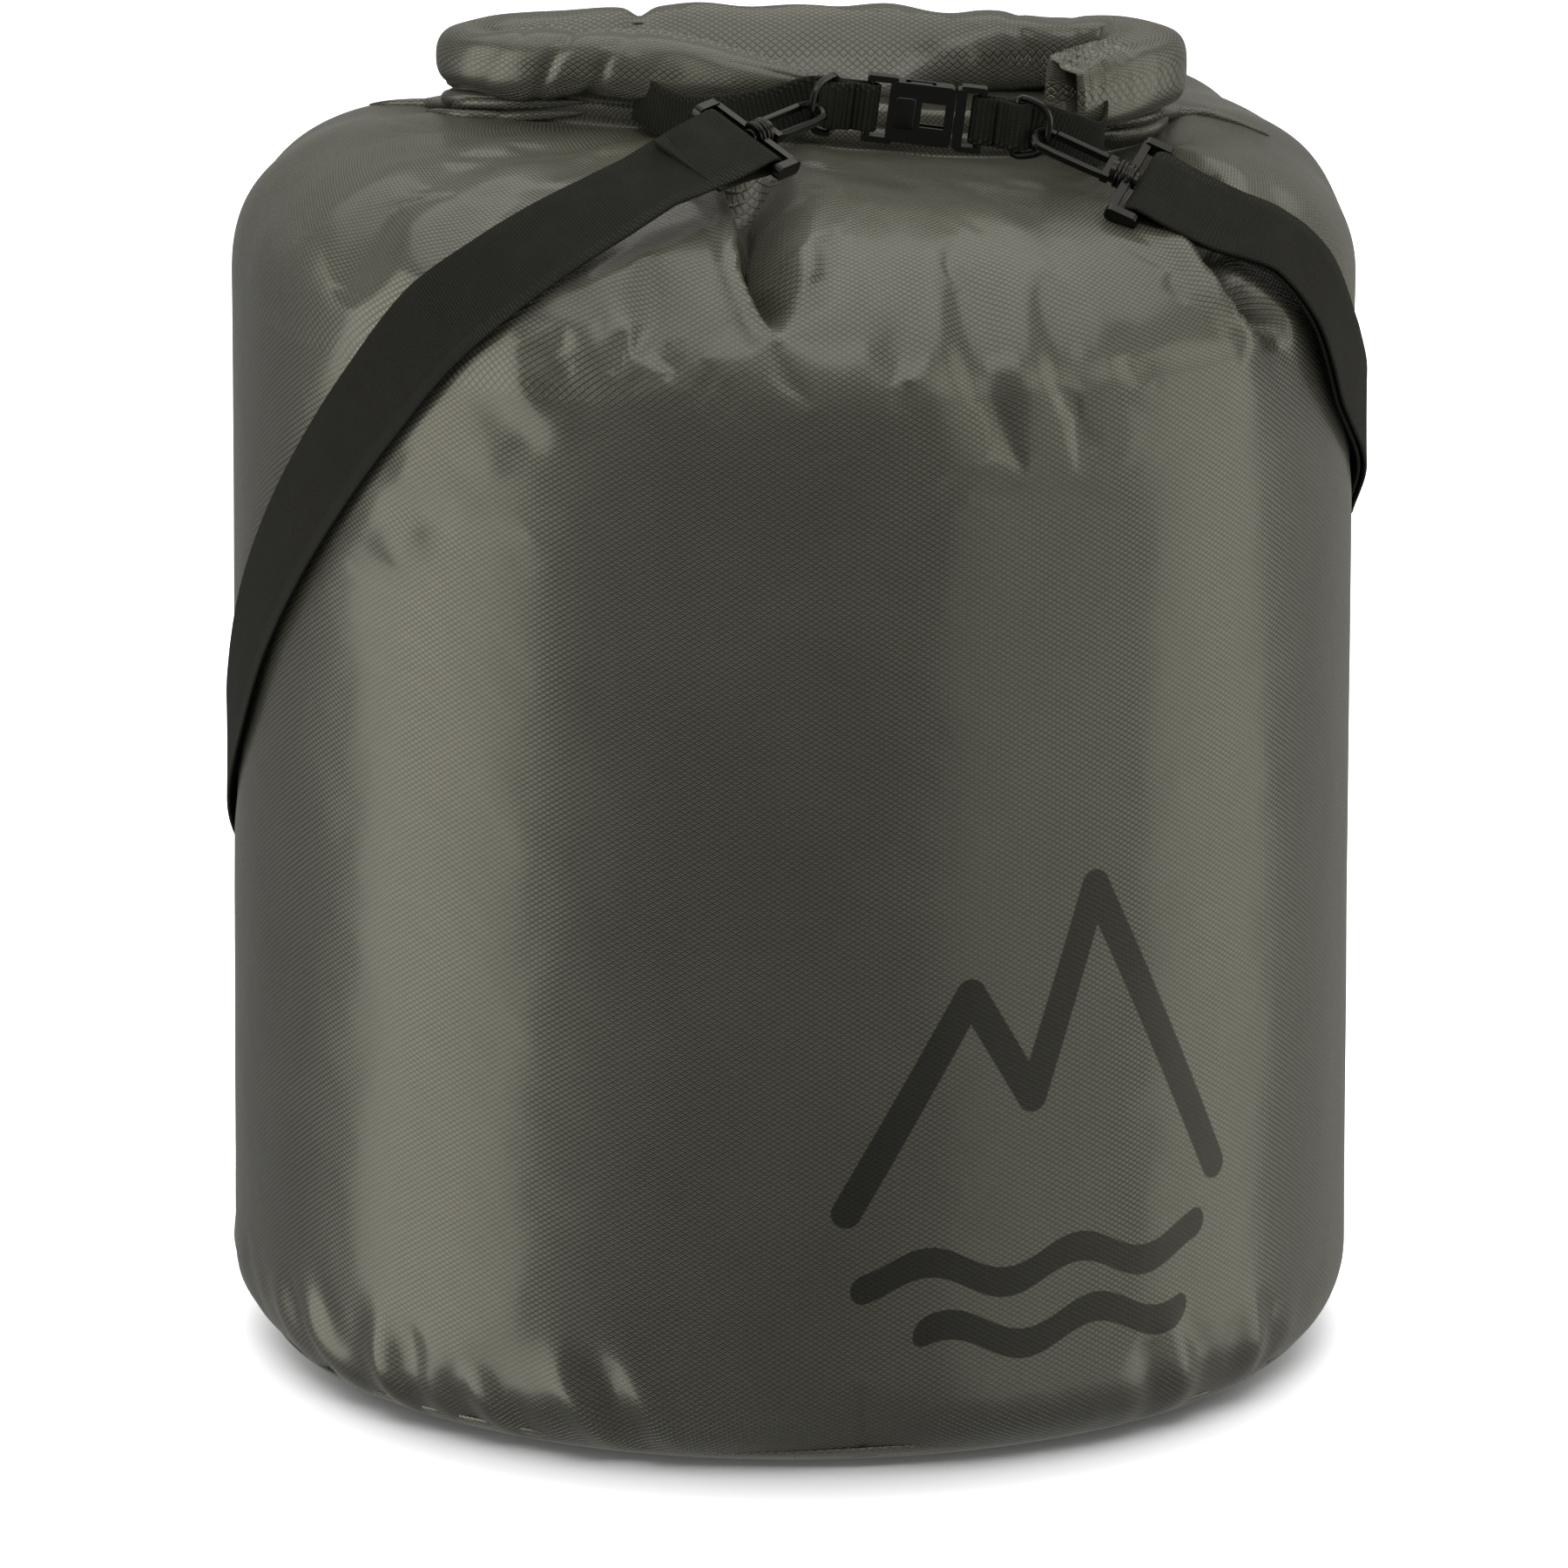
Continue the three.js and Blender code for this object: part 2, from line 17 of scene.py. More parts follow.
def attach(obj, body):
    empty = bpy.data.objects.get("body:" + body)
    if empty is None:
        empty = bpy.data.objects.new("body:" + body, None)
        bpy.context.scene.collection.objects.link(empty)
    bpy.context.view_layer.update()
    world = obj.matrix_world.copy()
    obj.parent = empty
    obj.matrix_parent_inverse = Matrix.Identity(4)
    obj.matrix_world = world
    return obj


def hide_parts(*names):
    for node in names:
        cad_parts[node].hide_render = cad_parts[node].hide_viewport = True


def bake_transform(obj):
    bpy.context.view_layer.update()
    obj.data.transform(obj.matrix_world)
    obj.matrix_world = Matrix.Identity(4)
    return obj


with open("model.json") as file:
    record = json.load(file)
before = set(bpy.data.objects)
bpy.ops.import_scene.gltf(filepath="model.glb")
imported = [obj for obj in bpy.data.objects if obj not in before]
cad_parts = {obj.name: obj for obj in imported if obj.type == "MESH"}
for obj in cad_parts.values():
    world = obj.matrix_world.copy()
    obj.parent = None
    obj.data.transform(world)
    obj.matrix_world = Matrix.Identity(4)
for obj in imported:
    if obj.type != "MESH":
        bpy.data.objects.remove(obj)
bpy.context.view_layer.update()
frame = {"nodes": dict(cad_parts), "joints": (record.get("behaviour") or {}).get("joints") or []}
JOINTS = {joint["name"]: joint for joint in frame["joints"]}
MM = 0.001

# The bag, in mm.
BODY_R = 233
HEM_R = 34  # radius of the turn from the wall to the base
RIM_Z = 450  # where the wall ends and the shoulders begin
NECK_HALF = (146, 45)
NECK_MID = (5, 10)
NECK_Z = 514
SEAM_DEG = 150  # place of the side seam
CLOSURE_W = 20
STRAP_W = 38
WEB_T = 1.6
SKIN_GAP = 2.2  # from the wall to the middle of the strap's inner layer
LAYER_2 = 5.0  # and to the middle of its outer layer
BUCKLE_AT = (54, -80, 538)
BUCKLE_TILT = math.radians(7)
GLIDE_DEG = -150  # place of the strap adjuster
GLIDE_Z = 150
VIEW_TILT = math.radians(15.1)  # the front's folds are placed as seen from this far above

# The body's mesh.
COLUMNS = 288
HEM_ROWS = 10
WALL_ROWS = 90
SHOULDER_ROWS = 60


# ---- meshes
def placed(name, data):
    """A new object in the scene."""
    obj = bpy.data.objects.new(name, data)
    bpy.context.scene.collection.objects.link(obj)
    return obj


def mesh_object(name, points, faces, uvs=None):
    """A smooth-shaded object from points, faces and one UV per face corner. UVs are in mm too."""
    mesh = bpy.data.meshes.new(name)
    mesh.from_pydata([tuple(p) for p in np.asarray(points, float) * MM], [], faces)
    if uvs is not None:
        layer = mesh.uv_layers.new(name="UVMap")
        layer.data.foreach_set("uv", (np.asarray(uvs, np.float32) * MM).ravel())
    mesh.polygons.foreach_set("use_smooth", [True] * len(mesh.polygons))
    mesh.update()
    return placed(name, mesh)


def ring_quads(rows, columns):
    """Faces that join rings of points into a tube."""
    faces = []
    for i in range(rows - 1):
        low, high = i * columns, (i + 1) * columns
        for j in range(columns):
            k = (j + 1) % columns
            faces.append((low + j, low + k, high + k, high + j))
    return faces


def skin(name, grid, uv, ends=True):
    """A tube through rings of points, closed at its ends. uv has one column more than the grid."""
    rows, columns = grid.shape[:2]
    points = list(grid.reshape(-1, 3))
    faces = ring_quads(rows, columns)
    corners = []
    for i in range(rows - 1):
        for j in range(columns):
            corners += [uv[i, j], uv[i, j + 1], uv[i + 1, j + 1], uv[i + 1, j]]
    if ends:
        for row, turned in ((0, True), (rows - 1, False)):
            points.append(grid[row].mean(axis=0))
            for j in range(columns):
                pair = (j + 1, j) if turned else (j, j + 1)
                faces.append((len(points) - 1, *[row * columns + k % columns for k in pair]))
                corners += [uv[row].mean(axis=0), *[uv[row, k] for k in pair]]
    return mesh_object(name, points, faces, corners)


def finish_with(obj, body, material, *replaced):
    """Gives a piece its material in a slot, hides the CAD nodes it stands for and parents it to the body it
    rides on.
    """
    obj.data.materials.clear()
    obj.data.materials.append(material)
    if replaced:
        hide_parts(*replaced)
    if body:
        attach(obj, body)


def between(values, closed):
    """Cubic midpoints between the rows of an array. A closed one ends where it starts."""
    if closed:
        before, after = np.roll(values, 1, axis=0), np.roll(values, -1, axis=0)
        return (9 * (values + after) - before - np.roll(values, -2, axis=0)) / 16
    first, last = 2 * values[:1] - values[1:2], 2 * values[-1:] - values[-2:-1]
    long = np.concatenate([first, values, last])
    return (9 * (long[1:-2] + long[2:-1]) - long[:-3] - long[3:]) / 16


def finer(grid, uv):
    """Twice as many rings and twice as many points in each, on the same smooth surface."""
    rows, columns = grid.shape[:2]
    taller = np.empty((2 * rows - 1, columns, 3))
    taller[::2], taller[1::2] = grid, between(grid, False)
    made = np.empty((2 * rows - 1, 2 * columns, 3))
    made[:, ::2] = taller
    made[:, 1::2] = between(taller.transpose(1, 0, 2), True).transpose(1, 0, 2)
    made_uv = np.empty((2 * rows - 1, 2 * columns + 1, 2))
    made_uv[::2, ::2] = uv
    made_uv[1::2, ::2] = (uv[:-1] + uv[1:]) / 2
    made_uv[:, 1::2] = (made_uv[:, :-2:2] + made_uv[:, 2::2]) / 2
    return made, made_uv


def circle(radius, a, z):
    """Points round the bag's axis at the angles a."""
    return np.stack([radius * np.sin(a), -radius * np.cos(a), np.broadcast_to(z, a.shape)], -1)


def length_so_far(points):
    """Length along a line of points, at each of them."""
    return np.concatenate([[0], np.cumsum(np.linalg.norm(np.diff(points, axis=0), axis=1))])


def uv_grid(across, along):
    """UVs of a tube, from one list round it and one along it."""
    return np.stack(np.broadcast_arrays(across[None], along[:, None]), axis=-1)


def unit(v):
    """Vectors scaled to length 1."""
    v = np.asarray(v, float)
    return v / np.maximum(np.linalg.norm(v, axis=-1, keepdims=True), 1e-12)


def smoothstep(x, low, high):
    """0 below low, 1 above high and a smooth rise between them."""
    t = np.clip((x - low) / (high - low), 0, 1)
    return t * t * (3 - 2 * t)


def hump(x, middle, half):
    """1 at the middle, fading to nothing on both sides of it."""
    return np.exp(-(((x - middle) / half) ** 2))


def catmull(points, steps):
    """Points, unit tangents and spot numbers along a centripetal Catmull-Rom curve."""
    p = np.asarray(points, float)
    p = np.vstack([2 * p[0] - p[1], p, 2 * p[-1] - p[-2]])
    spots = np.linspace(0, len(points) - 1, steps + 1)
    out = []
    for s in spots:
        i = min(int(s), len(points) - 2)
        f = s - i
        a, b, c, d = p[i : i + 4]
        t0, t1, t2 = (max(np.linalg.norm(y - x), 1e-6) ** 0.5 for x, y in ((a, b), (b, c), (c, d)))
        m1 = ((b - a) / t0 - (c - a) / (t0 + t1) + (c - b) / t1) * t1
        m2 = ((c - b) / t1 - (d - b) / (t1 + t2) + (d - c) / t2) * t1
        cubic = 2 * b - 2 * c + m1 + m2
        square = -3 * b + 3 * c - 2 * m1 - m2
        out.append(b + m1 * f + square * f * f + cubic * f**3)
    out = np.array(out)
    return out, unit(np.gradient(out, axis=0)), spots


def stations(points, widths, steps):
    """Centre points, width and normal directions, and the length so far, along a band."""
    centre, tangent, spots = catmull(points, steps)
    widths = np.asarray(widths, float)
    low = np.minimum(spots.astype(int), len(points) - 2)
    f = (spots - low)[:, None]
    w = widths[low] * (1 - f) + widths[low + 1] * f
    w = unit(w - (w * tangent).sum(1, keepdims=True) * tangent)
    n = unit(np.cross(tangent, w))
    return centre, w, n, length_so_far(centre)


def webbing_band(name, points, widths, steps, width):
    """Flat webbing with rounded selvages. Its UV is across and along the band."""
    centre, w, n, length = stations(points, widths, steps)
    edge = WEB_T / 2
    flat = width / 2 - edge
    half = [(x * flat, edge) for x in np.linspace(-1, 1, 9)]
    half += [(flat + edge * math.cos(t), edge * math.sin(t)) for t in (0.8, 0, -0.8)]
    section = np.array(half + [(-x, -y) for x, y in half])
    grid = centre[:, None] + w[:, None] * section[None, :, :1] + n[:, None] * section[None, :, 1:]
    around = np.append(section[:, 0], section[0, 0])
    uv = uv_grid(around, length)
    return skin(name, grid[:, ::-1], uv[:, ::-1])


# ---- materials
class Graph:
    """A material's node tree, written as expressions."""

    def __init__(self, name):
        self.material = bpy.data.materials.new(name)
        self.material.use_nodes = True
        self.tree = self.material.node_tree
        self.shader = self.tree.nodes["Principled BSDF"]

    def put(self, socket, value):
        if isinstance(value, bpy.types.NodeSocket):
            self.tree.links.new(value, socket)
        else:
            socket.default_value = value

    def fill(self, node, **inputs):
        for name, value in inputs.items():
            self.put(node.inputs[name.replace("_", " ")], value)

    def node(self, kind, **settings):
        made = self.tree.nodes.new(kind)
        for key, value in settings.items():
            setattr(made, key, value)
        return made

    def math(self, operation, *values):
        made = self.node("ShaderNodeMath", operation=operation)
        for socket, value in zip(made.inputs, values):
            self.put(socket, value)
        return made.outputs[0]

    def times(self, a, b):
        return self.math("MULTIPLY", a, b)

    def plus(self, a, b):
        return self.math("ADD", a, b)

    def minus(self, a, b):
        return self.math("SUBTRACT", a, b)

    def hypotenuse(self, a, b):
        return self.math("SQRT", self.plus(self.times(a, a), self.times(b, b)))

    def step(self, value, low, high, start=0.0, end=1.0):
        made = self.node("ShaderNodeMapRange", interpolation_type="SMOOTHSTEP")
        for socket, item in zip(made.inputs, (value, low, high, start, end)):
            self.put(socket, item)
        return made.outputs[0]

    def mix(self, factor, a, b):
        made = self.node("ShaderNodeMix", data_type="RGBA")
        self.put(made.inputs[0], factor)
        self.put(made.inputs[6], a)
        self.put(made.inputs[7], b)
        return made.outputs[2]

    def noise(self, scale, detail=3.0, roughness=0.55, stretch=None):
        made = self.node("ShaderNodeTexNoise")
        place = self.node("ShaderNodeTexCoord").outputs["Object"]
        if stretch:
            mapping = self.node("ShaderNodeMapping")
            self.fill(mapping, Vector=place, Scale=stretch)
            place = mapping.outputs[0]
        self.fill(made, Vector=place, Scale=scale, Detail=detail, Roughness=roughness)
        return made.outputs[0]

    def across_along(self):
        split = self.node("ShaderNodeSeparateXYZ")
        self.put(split.inputs[0], self.node("ShaderNodeUVMap", uv_map="UVMap").outputs[0])
        return split.outputs[0], split.outputs[1]

    def bump(self, height, distance, strength=1.0, normal=None):
        made = self.node("ShaderNodeBump")
        self.fill(made, Height=height, Distance=distance, Strength=strength)
        if normal:
            self.fill(made, Normal=normal)
        return made.outputs[0]

    def finish(self, **inputs):
        self.fill(self.shader, **inputs)
        return self.material


def rgb(red, green, blue):
    """Linear colour from 8-bit sRGB values."""
    linear = [((c / 255 + 0.055) / 1.055) ** 2.4 if c > 10 else c / 3295 for c in (red, green, blue)]
    return (*linear, 1.0)


def shaded(colour, share):
    """A linear colour from a share of 8-bit sRGB values."""
    return rgb(*[c * share for c in colour])


DIAMOND = (3.8 * MM, 2.3 * MM)  # ripstop cell, wide and tall


def ripstop_lines(g):
    """1 on the ripstop yarns, which cross in flat diamonds, and 0 between them."""
    u, v = g.across_along()
    slanted = g.times(u, DIAMOND[1] / DIAMOND[0])
    masks = []
    for operation in ("ADD", "SUBTRACT"):
        place = g.math("DIVIDE", g.math(operation, v, slanted), DIAMOND[1])
        masks.append(g.step(g.math("PINGPONG", place, 0.5), 0.05, 0.17, 1.0, 0.0))
    return g.math("MAXIMUM", *masks)


def stroke(g, u, v, a, b):
    """Distance in mm from the segment between the UV points a and b, given in mm."""
    a, b = np.array(a, float) * MM, np.array(b, float) * MM
    span = b - a
    x, y = g.minus(u, a[0]), g.minus(v, a[1])
    along = g.plus(g.times(x, span[0]), g.times(y, span[1]))
    share = g.node("ShaderNodeClamp")
    g.put(share.inputs[0], g.math("DIVIDE", along, float(span @ span)))
    dx = g.minus(x, g.times(share.outputs[0], span[0]))
    dy = g.minus(y, g.times(share.outputs[0], span[1]))
    return g.times(g.hypotenuse(dx, dy), 1 / MM)


PRINT_MID = (106, 172)  # middle of the printed graphic: along the wall from the front, and up it
PRINT_STROKE = 6.4  # half the width of its lines
PEAKS = [(-84, -40), (-32, 50), (-5, 4), (24, 90), (88, -40)]
WAVES = [((0, -68), 76, 5.5), ((8, -95), 58, 5.5)]  # middle, half length and height of each wave line
WAVE_LENGTH = 66


def wave_line(g, u, v, middle, half, height):
    """Distance in mm from a level wave line."""
    x = g.minus(g.times(u, 1 / MM), float(PRINT_MID[0] + middle[0]))
    y = g.minus(g.times(v, 1 / MM), float(PRINT_MID[1] + middle[1]))
    swing = g.times(g.math("SINE", g.times(x, math.tau / WAVE_LENGTH)), float(height))
    past = g.math("MAXIMUM", g.minus(g.math("ABSOLUTE", x), float(half)), 0.0)
    return g.hypotenuse(g.minus(y, swing), past)


def printed_graphic(g):
    """Ink of a plain printed graphic: two peaks over two wave lines."""
    u, v = g.across_along()
    places = np.array(PEAKS) + PRINT_MID
    distances = [stroke(g, u, v, a, b) for a, b in zip(places, places[1:])]
    distances += [wave_line(g, u, v, *wave) for wave in WAVES]
    nearest = distances[0]
    for distance in distances[1:]:
        nearest = g.math("MINIMUM", nearest, distance)
    return g.step(nearest, PRINT_STROKE - 0.3, PRINT_STROKE + 0.3, 1.0, 0.0)


def coated_ripstop(name, ground, printed=False):
    """Nylon with a satin coating: raised, darker ripstop yarns, faint mottling and handling creases."""
    g = Graph(name)
    lines = ripstop_lines(g)
    mottle = g.step(g.noise(9, 2, 0.6), 0.3, 0.7)
    colour = g.mix(mottle, shaded(ground, 0.94), shaded(ground, 1.04))
    colour = g.mix(g.times(lines, 0.75), colour, shaded(ground, 0.5))
    roughness = g.plus(g.times(mottle, 0.06), g.times(lines, -0.19))
    roughness = g.plus(roughness, 0.34)
    gloss = 0.5
    if printed:
        ink = printed_graphic(g)
        colour = g.mix(g.times(ink, 0.97), colour, rgb(22, 22, 18))
        roughness = g.plus(roughness, g.times(ink, 0.1))
        gloss = g.minus(gloss, g.times(ink, 0.26))
    creases = g.bump(g.noise(30, 1, 0.5), 0.0018, 0.45)
    normal = g.bump(lines, 0.00032, 0.9, creases)
    return g.finish(
        Base_Color=colour, Roughness=roughness, Normal=normal,
        IOR=1.5, Specular_IOR_Level=gloss,
    )


YARN = 0.75 * MM  # width of one yarn of the webbing


def woven_webbing(name, rib):
    """Black webbing: ribs across it, broken up by a twill, fuzzy and a little worn. Its colour follows the
    weave, with a painted highlight on the rib crests and painted shade between them.
    """
    g = Graph(name)
    u, v = g.across_along()
    ribs = g.math("SINE", g.times(v, math.tau / rib))
    yarns = g.times(u, math.tau / YARN)
    twill = g.math("SINE", g.plus(yarns, g.times(v, math.pi / rib)))
    broken = g.plus(g.times(twill, 0.35), 0.65)
    weave_and_painted_highlight = g.times(g.plus(ribs, 1.0), broken)
    fuzz = g.noise(1500, 2)
    worn = g.step(g.noise(60, 3), 0.4, 0.75)
    # Painted highlight on the raised ribs and painted shade in the grooves: the colour follows the weave's
    # height.
    colour = g.mix(g.times(weave_and_painted_highlight, 0.5), rgb(3, 3, 2), rgb(40, 41, 35))
    colour = g.mix(g.times(worn, 0.1), colour, rgb(60, 60, 54))
    height = g.plus(weave_and_painted_highlight, g.times(fuzz, 0.4))
    return g.finish(
        Base_Color=colour, Roughness=g.plus(0.62, g.times(fuzz, 0.2)),
        Normal=g.bump(height, 0.0005, 1.0), Specular_IOR_Level=0.14,
    )


def moulded_plastic(name, colour=(9, 9, 8), gloss=0.2):
    """Black acetal: fine spark-eroded grain, faint flow marks and scuffed high spots."""
    g = Graph(name)
    grain = g.noise(5200, 2, 0.6)
    flow = g.noise(120, 3, 0.5, stretch=(1, 1, 4))
    scuffs = g.step(g.noise(700, 4, 0.7), 0.62, 0.75)
    shade = g.mix(flow, shaded(colour, 0.85), shaded(colour, 1.15))
    shade = g.mix(g.times(scuffs, 0.16), shade, rgb(60, 61, 57))
    roughness = g.plus(gloss, g.times(g.plus(grain, scuffs), 0.08))
    return g.finish(
        Base_Color=shade, Roughness=roughness, Normal=g.bump(grain, 0.00003, 0.6),
        IOR=1.49, Specular_IOR_Level=0.2,
    )


KNURL = 4200  # turns of the welding roller's pattern, in radians per metre


def taped_seam(name):
    """Heat-welded tape over the fabric, with the welding roller's fine pattern."""
    g = Graph(name)
    u, v = g.across_along()
    waves = [g.math("SINE", g.times(place, KNURL)) for place in (u, v)]
    knurl = g.times(*waves)
    cloud = g.noise(70, 3)
    return g.finish(
        Base_Color=g.mix(cloud, rgb(88, 89, 81), rgb(112, 112, 103)),
        Roughness=g.plus(0.35, g.times(cloud, 0.25)), Normal=g.bump(knurl, 0.00006, 0.5),
    )


OLIVE = (74, 74, 65)
FABRIC = coated_ripstop("olive_ripstop", OLIVE)
PRINTED_FABRIC = coated_ripstop("olive_ripstop_printed", OLIVE, printed=True)
BASE_FABRIC = coated_ripstop("base_ripstop", (98, 97, 85))
STRAP_WEBBING = woven_webbing("strap_webbing", 1.3 * MM)
CLOSURE_WEBBING = woven_webbing("closure_webbing", 2.1 * MM)
PLASTIC = moulded_plastic("black_acetal")
TAPE = taped_seam("seam_tape")
STIFFENER = moulded_plastic("stiffener_strip", (44, 45, 41), 0.5)


# ---- camera, lights and floor
CAMERA_TARGET = (-3.4, 0, 232.1)
CAMERA_DISTANCE = 7.5
LENS = 412
FLOOR_HALF = 9000
FLOOR_Z = -0.3
PAINTED_SHADOW_MIDDLE = (0, -0.045, 0)  # the floor's painted shadow is centred here
# Name, azimuth, height, distance, size, power, height of its target and whether only gloss sees it.
SOFTBOXES = [
    ("top", 180, 2.7, 0.4, (4.2, 3.6), 92, 0.27, False),
    ("top_front", 0, 2.2, 1.6, (1.6, 1.0), 22, 0.27, False),
    ("front_mid", 44, 1.25, 2.0, (1.8, 1.1), 12, 0.3, True),
    ("left_strip", -74, 0.2, 1.5, (1.2, 2.4), 45, 0.2, True),
    ("right_front", 49, 0.2, 1.9, (1.3, 2.4), 12, 0.2, True),
    ("right_strip", 90, 0.2, 1.9, (1.15, 2.4), 28, 0.2, True),
    ("right_edge", 130, 0.2, 1.9, (1.5, 2.4), 2, 0.2, True),
]


def aim(obj, target):
    obj.rotation_mode = "QUATERNION"
    obj.rotation_quaternion = (Vector(target) - obj.location).to_track_quat("-Z", "Y")


def make_camera():
    target = Vector(CAMERA_TARGET) * MM
    data = bpy.data.cameras.new("camera")
    data.lens = LENS
    camera = placed("camera", data)
    back = Vector((0, -math.cos(VIEW_TILT), math.sin(VIEW_TILT)))
    camera.location = target + back * CAMERA_DISTANCE
    aim(camera, target)
    bpy.context.scene.camera = camera


def softbox(name, azimuth, height, distance, size, power, target, glossy_only):
    """A soft light standing round the object, turned to a height on its axis."""
    data = bpy.data.lights.new(name, "AREA")
    data.shape = "RECTANGLE"
    data.size, data.size_y = size
    data.energy = power
    data.color = (1.0, 0.975, 0.8 if glossy_only else 0.89)
    light = placed(name, data)
    light.visible_diffuse = not glossy_only
    a = math.radians(azimuth)
    light.location = (distance * math.sin(a), -distance * math.cos(a), height)
    aim(light, (0, 0, target))


def make_floor():
    """A white glowing floor with a painted soft shadow where the bag stands on it."""
    g = Graph("studio_floor")
    corners = [(x * FLOOR_HALF, y * FLOOR_HALF, FLOOR_Z) for x, y in ((-1, -1), (1, -1), (1, 1), (-1, 1))]
    floor = mesh_object("studio_floor", corners, [(0, 1, 2, 3)])
    offset = g.node("ShaderNodeVectorMath", operation="DISTANCE")
    g.put(offset.inputs[0], g.node("ShaderNodeTexCoord").outputs["Object"])
    offset.inputs[1].default_value = PAINTED_SHADOW_MIDDLE
    # Painted contact shadow: the floor's glow fades towards the bag's foot.
    floor_glow_and_painted_shadow = g.step(offset.outputs["Value"], 0.18, 0.285, 0.02, 1.0)
    paint = g.finish(
        Base_Color=(0.86, 0.88, 0.96, 1), Roughness=0.8, Specular_IOR_Level=0.0,
        Emission_Color=(1, 1, 1, 1), Emission_Strength=floor_glow_and_painted_shadow,
    )
    floor.data.materials.append(paint)
    floor.visible_glossy = False
    floor.visible_diffuse = False
    floor.visible_shadow = False


def make_stage():
    """Floor, dim even surroundings and the lights."""
    make_floor()
    world = bpy.data.worlds.new("studio")
    world.use_nodes = True
    background = world.node_tree.nodes["Background"]
    background.inputs["Color"].default_value = (1, 0.98, 0.93, 1)
    background.inputs["Strength"].default_value = 0.34
    bpy.context.scene.world = world
    for box in SOFTBOXES:
        softbox(*box)
    view = bpy.context.scene.view_settings
    view.view_transform = "Standard"
    view.look = "None"


make_camera()
make_stage()


# ---- the strap's route
def on_wall(degrees, z, out=SKIN_GAP):
    """The point at an angle round the bag and a height, a distance off the wall."""
    a = math.radians(degrees)
    return np.array([(BODY_R + out) * math.sin(a), -(BODY_R + out) * math.cos(a), z])


# Angle round the bag and height of the strap's centre line, from the left shoulder round the back.
ROUND_THE_BACK = [
    (-38, 475), (-47, 435), (-54, 403), (-62, 366), (-70.5, 326), (-78, 288), (-90, 245), (-100, 217),
    (-111, 190), (-120, 168), (-128, 154), (-135, 150), (-142, 150), (-150, 150), (-158, 150), (-165, 150),
    (-172, 152), (-181, 158), (-190, 171), (-202, 195), (-215, 230), (-229, 272), (-243, 314), (-257, 354),
    (-270, 388), (-285, 428), (-290.5, 450),
]
STRAP_SPLIT = -257  # the part at the right hook starts here, just behind the right side
# Points on the shoulders, each with the direction that the strap's outer face looks in.
LEFT_SHOULDER = [
    ((-58, -161, 528), (-0.1, -0.45, 0.88)),
    ((-78, -173, 519), (-0.2, -0.62, 0.75)),
    ((-100, -182, 508), (-0.3, -0.74, 0.6)),
    ((-121, -189, 495), (-0.45, -0.8, 0.38)),
]
RIGHT_SHOULDER = [
    ((214, -95, 470), (0.85, -0.4, 0.34)),
    ((198, -102, 488), (0.64, -0.4, 0.65)),
]
# A strap end folded round a hook's bar, in the hook's frame: along it and across it.
FOLD = [
    (-34, -1.6), (-22, -1.7), (-10, -2.6), (-3, -3.5), (0, -3.5), (2.6, -2.3), (3.6, 0),
    (2.6, 2.3), (0, 3.5), (-3, 3.5), (-10, 2.6), (-22, 1.4),
]


def hook_frame(side):
    """Origin on the strap bar, X along the hook and Y along the bar, from the joints' own axes."""
    x = np.array(JOINTS[f"hook_{side}_swivel"]["axis"])
    y = np.array(JOINTS[f"hook_base_{side}_tilt"]["axis"])
    origin = np.array(JOINTS[f"hook_base_{side}_tilt"]["pos_m"]) / MM
    return origin, unit(x), unit(y), unit(np.cross(x, y))


def fold_points(side, sign):
    """The folded strap end's points. The sign tells which of its layers comes first."""
    origin, x, _, z = hook_frame(side)
    if z[2] < 0:
        sign = -sign
    return [origin + x * along + z * (sign * across) for along, across in FOLD]


def lower_edges(points, normals):
    """Width direction of a band on a surface: towards its lower edge, seen from outside."""
    ahead, behind = np.array(points[1:] + points[-1:]), np.array(points[:1] + points[:-1])
    return unit(np.cross(normals, ahead - behind))


def wall_route(low, high, out=SKIN_GAP):
    """The strap's points on the round side whose angles lie between two angles."""
    return [on_wall(a, z, out) for a, z in ROUND_THE_BACK if low <= a <= high]


def outward(points):
    """Level directions away from the bag's axis."""
    flat = np.array(points, float)
    flat[:, 2] = 0
    return unit(flat)


# ---- the body
def shoulder_point(a, turn):
    """The round tube at turn 0 closes to the narrow neck at turn 1."""
    square = 0.82 + 0.15 * np.sin(2 * a)
    outward_share = np.clip(np.cos(turn * math.pi / 2), 0, 1) ** square
    upward_share = np.sin(turn * math.pi / 2) ** square
    neck_z = NECK_Z - 4 * np.sin(a) - 5 * np.sin(2 * a)
    rim = np.stack([BODY_R * np.sin(a), -BODY_R * np.cos(a)], -1)
    neck = np.stack([NECK_MID[0] + NECK_HALF[0] * np.sin(a), NECK_MID[1] - NECK_HALF[1] * np.cos(a)], -1)
    flat = neck + (rim - neck) * outward_share[..., None]
    return np.concatenate([flat, (RIM_Z + (neck_z - RIM_Z) * upward_share)[..., None]], -1)


def column_angles():
    """Angles of the columns from the side seam round to it again, closest together in front."""
    fine = np.linspace(SEAM_DEG - 360, SEAM_DEG, 3601)
    weight = 1 + 1.7 * hump(fine, 6, 46)
    filled = np.concatenate([[0], np.cumsum(weight[1:] + weight[:-1])])
    return np.radians(np.interp(np.linspace(0, filled[-1], COLUMNS + 1), filled, fine))


# The folded collar above the neck: share of the way in to its middle, and height.
COLLAR = [
    (-0.022, 3), (-0.03, 6), (-0.02, 8.5), (0.004, 10), (-0.012, 12), (-0.014, 15), (0.0, 18), (0.03, 19.5),
    (0.06, 18), (0.075, 15), (0.09, 11), (0.2, 9), (0.6, 9),
]


